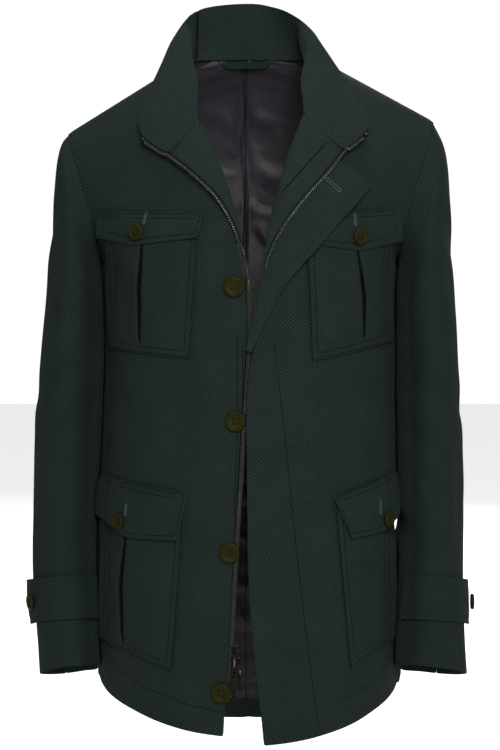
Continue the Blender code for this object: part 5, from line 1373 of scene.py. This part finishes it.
class JACKET_OT_zip(bpy.types.Operator):
    """Make the two-way zip: tapes, teeth, stops, box, sliders and pull tabs"""
    bl_idname = "jacket.zip"
    bl_label = "Zip"

    def execute(self, context):
        make_materials()
        pitch = context.scene.jacket_trims.tooth_pitch
        cloth = tree_of("front_right", "front_left", "front_facing_right", "front_facing_left", "collar")
        for side_name, side in SIDES:
            name = "zip_tape_" + side_name
            mesh = subdivided(clean_copy(name), name + "_woven", 1)
            points = points_of(mesh)
            set_points(mesh, points + calm_body(points))
            set_lengths(mesh, flat_lengths(points))
            tape = add_piece(name + "_woven", mesh, MATERIALS["zip_tape"], replaces=(name,))
            edge, ways = tape_free_edge(name, cloth)
            edge = edge + calm_body(edge)
            teeth = add_piece(f"zip_teeth_{side_name}", zip_teeth(f"zip_teeth_{side_name}", edge, ways, pitch),
                              MATERIALS["nickel"])
            half_area(mesh)
            cast_block("top_stop_" + side_name, "top_stop_" + side_name, 3, 0.4 * MM)
        cast_block("zip_box", "zip_box_cast", 5, 0.5 * MM)
        for name in ("upper", "lower"):
            joint = next(j for j in frame["joints"] if j["child"] == "pull_" + name)
            self.make_slider(name, Vector(joint["pos_m"]))
            self.make_pull(name, Vector(joint["pos_m"]))
        return {"FINISHED"}

    def make_slider(self, name, pivot):
        """Two plates, the wedge between them and the lug that the pull tab hangs on."""
        low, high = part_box("slider_" + name)
        middle, half = (low + high) / 2, (high - low) / 2
        build = bmesh.new()
        place = upright_place((middle.x, 0, middle.z))
        wide = [(a * (0.82 + 0.18 * (b / half.z)), b) for a, b in oval(half.x, half.z, power=3.2)]
        face = -(pivot.y + 1.5 * MM)
        slab(build, wide, None, face - 1.9 * MM, face, place, 0.5 * MM)
        slab(build, wide, None, -high.y, -high.y + 1.7 * MM, place, 0.5 * MM)
        slab(build, oval(half.x * 0.42, half.z * 0.62, (half.x * 0.38, 0), 3), None,
             -high.y + 1.2 * MM, face - 1.5 * MM, place, 0.2 * MM)
        lug = [(pivot.x, pivot.y + d * MM, pivot.z + z * MM) for d, z in
               ((1.7, -1.95), (0.4, -2.0), (-0.8, -1.9), (-1.45, -1.2), (-1.5, 0.0), (-1.45, 1.2), (-0.8, 1.9),
                (0.4, 2.0), (1.7, 1.95))]
        strand(build, lug, [(1, 0, 0)] * len(lug), 0.45 * MM, sides=10, flat=1.7)
        add_piece(f"slider_{name}_cast", finish_mesh(build, "slider"), MATERIALS["gunmetal"],
                  replaces=("slider_" + name,))

    def make_pull(self, name, pivot):
        """A waisted tab with the hole of its lug and a raised field, from the pivot down."""
        low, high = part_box("pull_tab_" + name)
        half_wide, foot = (high.x - low.x) / 2, low.z - pivot.z
        mid = -4.6 * MM         # middle of the hole
        outline, hole = [], []
        for a, s in round_places(6, 72):
            b = mid + (0.8 * MM - mid if s > 0 else mid - foot) * s
            waist = 1 - 0.22 * math.exp(-((b + 9 * MM) / (4 * MM)) ** 2) - (0.22 if b > -6 * MM else 0)
            outline.append((half_wide * waist * a, b))
            hole.append((1.15 * MM * a, mid + (3.95 * MM if s > 0 else 3.6 * MM) * s))
        build = bmesh.new()
        place = upright_place(pivot)
        slab(build, outline, hole, -0.75 * MM, 0.75 * MM, place, 0.25 * MM)
        slab(build, oval(half_wide * 0.55, (mid - foot) * 0.3, (0, (foot + mid) / 2 - 4 * MM), 4), None,
             0.7 * MM, 0.95 * MM, place, 0.1 * MM)
        add_piece(f"pull_tab_{name}_cast", finish_mesh(build, "pull"), MATERIALS["gunmetal"], body="pull_" + name,
                  replaces=("pull_tab_" + name,))


# ---------------------------------------------------------------- sewing

def inset_line(corners, by):
    """A polyline moved inwards by a distance, on the side of the corners' middle."""
    corners = np.array(corners, float)
    middle = corners.mean(0)
    moved = []
    for i, p in enumerate(corners):
        normals = []
        for a, b in ((i - 1, i), (i, i + 1)):
            if a < 0 or b >= len(corners):
                continue
            way = corners[b] - corners[a]
            n = np.array((-way[1], way[0])) / np.hypot(*way)
            normals.append(n if n @ (middle - corners[a]) >= 0 else -n)
        total = sum(normals)
        moved.append(p + total / max(total @ normals[0], 0.3) * by)
    return moved


# Lines of top stitching beside those round pockets and flaps, and buttonholes from end to end:
# piece, side, and points as millimetres out from the middle and height.
SEAM_LINES = [
    ("front_right", RIGHT, ((7, -300), (7.5, -400), (11, -520), (17, -620), (25, -735))),
    ("front_right", RIGHT, ((13, -292), (13, -400), (17, -500))),
    ("front_left", LEFT, ((28, -297), (40, -400), (52, -520), (66, -640), (80, -742))),
    ("front_right", RIGHT, ((166, -676), (125, -698), (70, -713), (27, -720))),
    ("front_left", LEFT, ((170, -676), (141, -701), (97, -714))),
]
SEAM_LINES += [("front_facing_left", LEFT, ((88 - by * 0.75, -74 - by * 0.65), (37 - by * 0.75, -131 - by * 0.65)))
               for by in (0, 5.5)]
BUTTONHOLES = (
    ("chest_flap_right", RIGHT, (115, -150.5), (118.5, -166)), ("chest_flap_left", LEFT, (119, -153), (120, -168)),
    ("lower_flap_right", RIGHT, (141, -485), (142, -500)), ("lower_flap_left", LEFT, (152, -483), (152, -500)),
    ("fly_flap_left", LEFT, (84, -113), (101, -128)),
)


def buttonhole_loop(eyed, long):
    """Thread round a buttonhole as places across and down it; the fly's has a round eye."""
    wide, straight = (1.25, long - 3) if eyed else (0.8, long - 0.4)
    end = [(0, long)]
    if eyed:
        end = [(2.1 * math.sin(a), long - 2.1 * math.cos(a)) for a in np.linspace(-0.7, -5.58, 14)]
    return [(-wide, 0.0), (-wide, long * 0.5), (-wide, straight), *end,
            (wide, straight), (wide, long * 0.5), (wide, 0.0)]


class JACKET_OT_sewing(bpy.types.Operator):
    """Sew the top stitching, lay dark strips of painted seam shade and work the buttonholes with painted shade in
    their slits
    """
    bl_idname = "jacket.sewing"
    bl_label = "Stitches and buttonholes"

    def execute(self, context):
        make_materials()
        pitch = context.scene.jacket_trims.stitch_pitch
        lines = [(name, row[0], inset_line((row[1], row[3], row[4], row[2]), by))
                 for name, row in POCKETS.items() for by in (1.8, 7.8)]
        for name, (side, a, b, c, d, *_) in FLAPS.items():
            lines.append((name, side, inset_line(flap_outline(name)[1], 5.5)))
            lines += [(name, side, inset_line((a, b, d, c), by)[:2]) for by in (1.8, 7.0)]
        stitches, seam_shade_strips = bmesh.new(), bmesh.new()
        for name, side, line in lines + SEAM_LINES:
            points, normals = cast_line(cloth_tree(name), [Vector((side * x * MM, 0, z * MM)) for x, z in line])
            if len(points) > 3:
                row_of_stitches(stitches, points, normals, pitch, pitch * 0.8, 0.27 * MM)
                # Painted shade: a flat dark strip under each row of stitches stands for the shade of its pressed seam.
                strand(seam_shade_strips, points[::2], normals[::2], 0.42 * MM, flat=0.14)

        worked, slit_shades = bmesh.new(), bmesh.new()
        for name, side, top, foot in BUTTONHOLES:
            tree = cloth_tree(name)
            dx, dz = foot[0] - top[0], foot[1] - top[1]
            long = math.hypot(dx, dz)
            loop = buttonhole_loop(name.startswith("fly"), long)
            # Painted shade: a dark strand down the middle of each buttonhole stands for the shade in its slit.
            slit = [(0, 0.5), (0, long - 1)]
            for line, target, thick, lift in ((loop, worked, 0.6, 0.25), (slit, slit_shades, 0.55, 0.05)):
                spots = [Vector((side * (top[0] + (dx * b - dz * a) / long) * MM, 0,
                                 (top[1] + (dz * b + dx * a) / long) * MM)) for a, b in line]
                points, normals = cast_line(tree, spots)
                if len(points) > 2:
                    strand(target, [p + n * lift * MM for p, n in zip(points, normals)], normals, thick * MM,
                           sides=8, flat=0.7)
        for name, build, material in (
                ("painted_stitch_shade", seam_shade_strips, "painted_groove_shade"), ("top_stitching", stitches, "seam_thread"),
                ("buttonhole_slit_shade", slit_shades, "painted_groove_shade"), ("buttonholes", worked, "buttonhole_thread")):
            add_piece(name, finish_mesh(build, name), MATERIALS[material])
        return {"FINISHED"}


class JACKET_PT_panel(bpy.types.Panel):
    """Lists the jacket's pieces and settings"""
    bl_label = "Field jacket"
    bl_idname = "JACKET_PT_panel"
    bl_space_type = "VIEW_3D"
    bl_region_type = "UI"
    bl_category = "Jacket"

    def draw(self, context):
        for group in (context.scene.jacket_cloth, context.scene.jacket_trims, context.scene.jacket_stage):
            box = self.layout.box()
            for label in group.bl_rna.properties.keys():
                if label not in ("rna_type", "name"):
                    box.prop(group, label)
        for step in STEPS:
            self.layout.operator(step.bl_idname)


STEPS = (JACKET_OT_stage, JACKET_OT_shell, JACKET_OT_sleeves, JACKET_OT_collar, JACKET_OT_lining,
         JACKET_OT_pockets, JACKET_OT_cuffs, JACKET_OT_buttons, JACKET_OT_zip, JACKET_OT_sewing)
GROUPS = (("jacket_cloth", JacketCloth), ("jacket_trims", JacketTrims), ("jacket_stage", JacketStage))


def register():
    for name, group in GROUPS:
        bpy.utils.register_class(group)
        setattr(bpy.types.Scene, name, PointerProperty(type=group))
    for thing in (*STEPS, JACKET_PT_panel):
        bpy.utils.register_class(thing)


def unregister():
    for thing in (JACKET_PT_panel, *reversed(STEPS)):
        bpy.utils.unregister_class(thing)
    for name, group in reversed(GROUPS):
        delattr(bpy.types.Scene, name)
        bpy.utils.unregister_class(group)


def main():
    register()
    for step in STEPS:
        family, name = step.bl_idname.split(".")
        getattr(getattr(bpy.ops, family), name)()


if __name__ == "__main__":
    main()
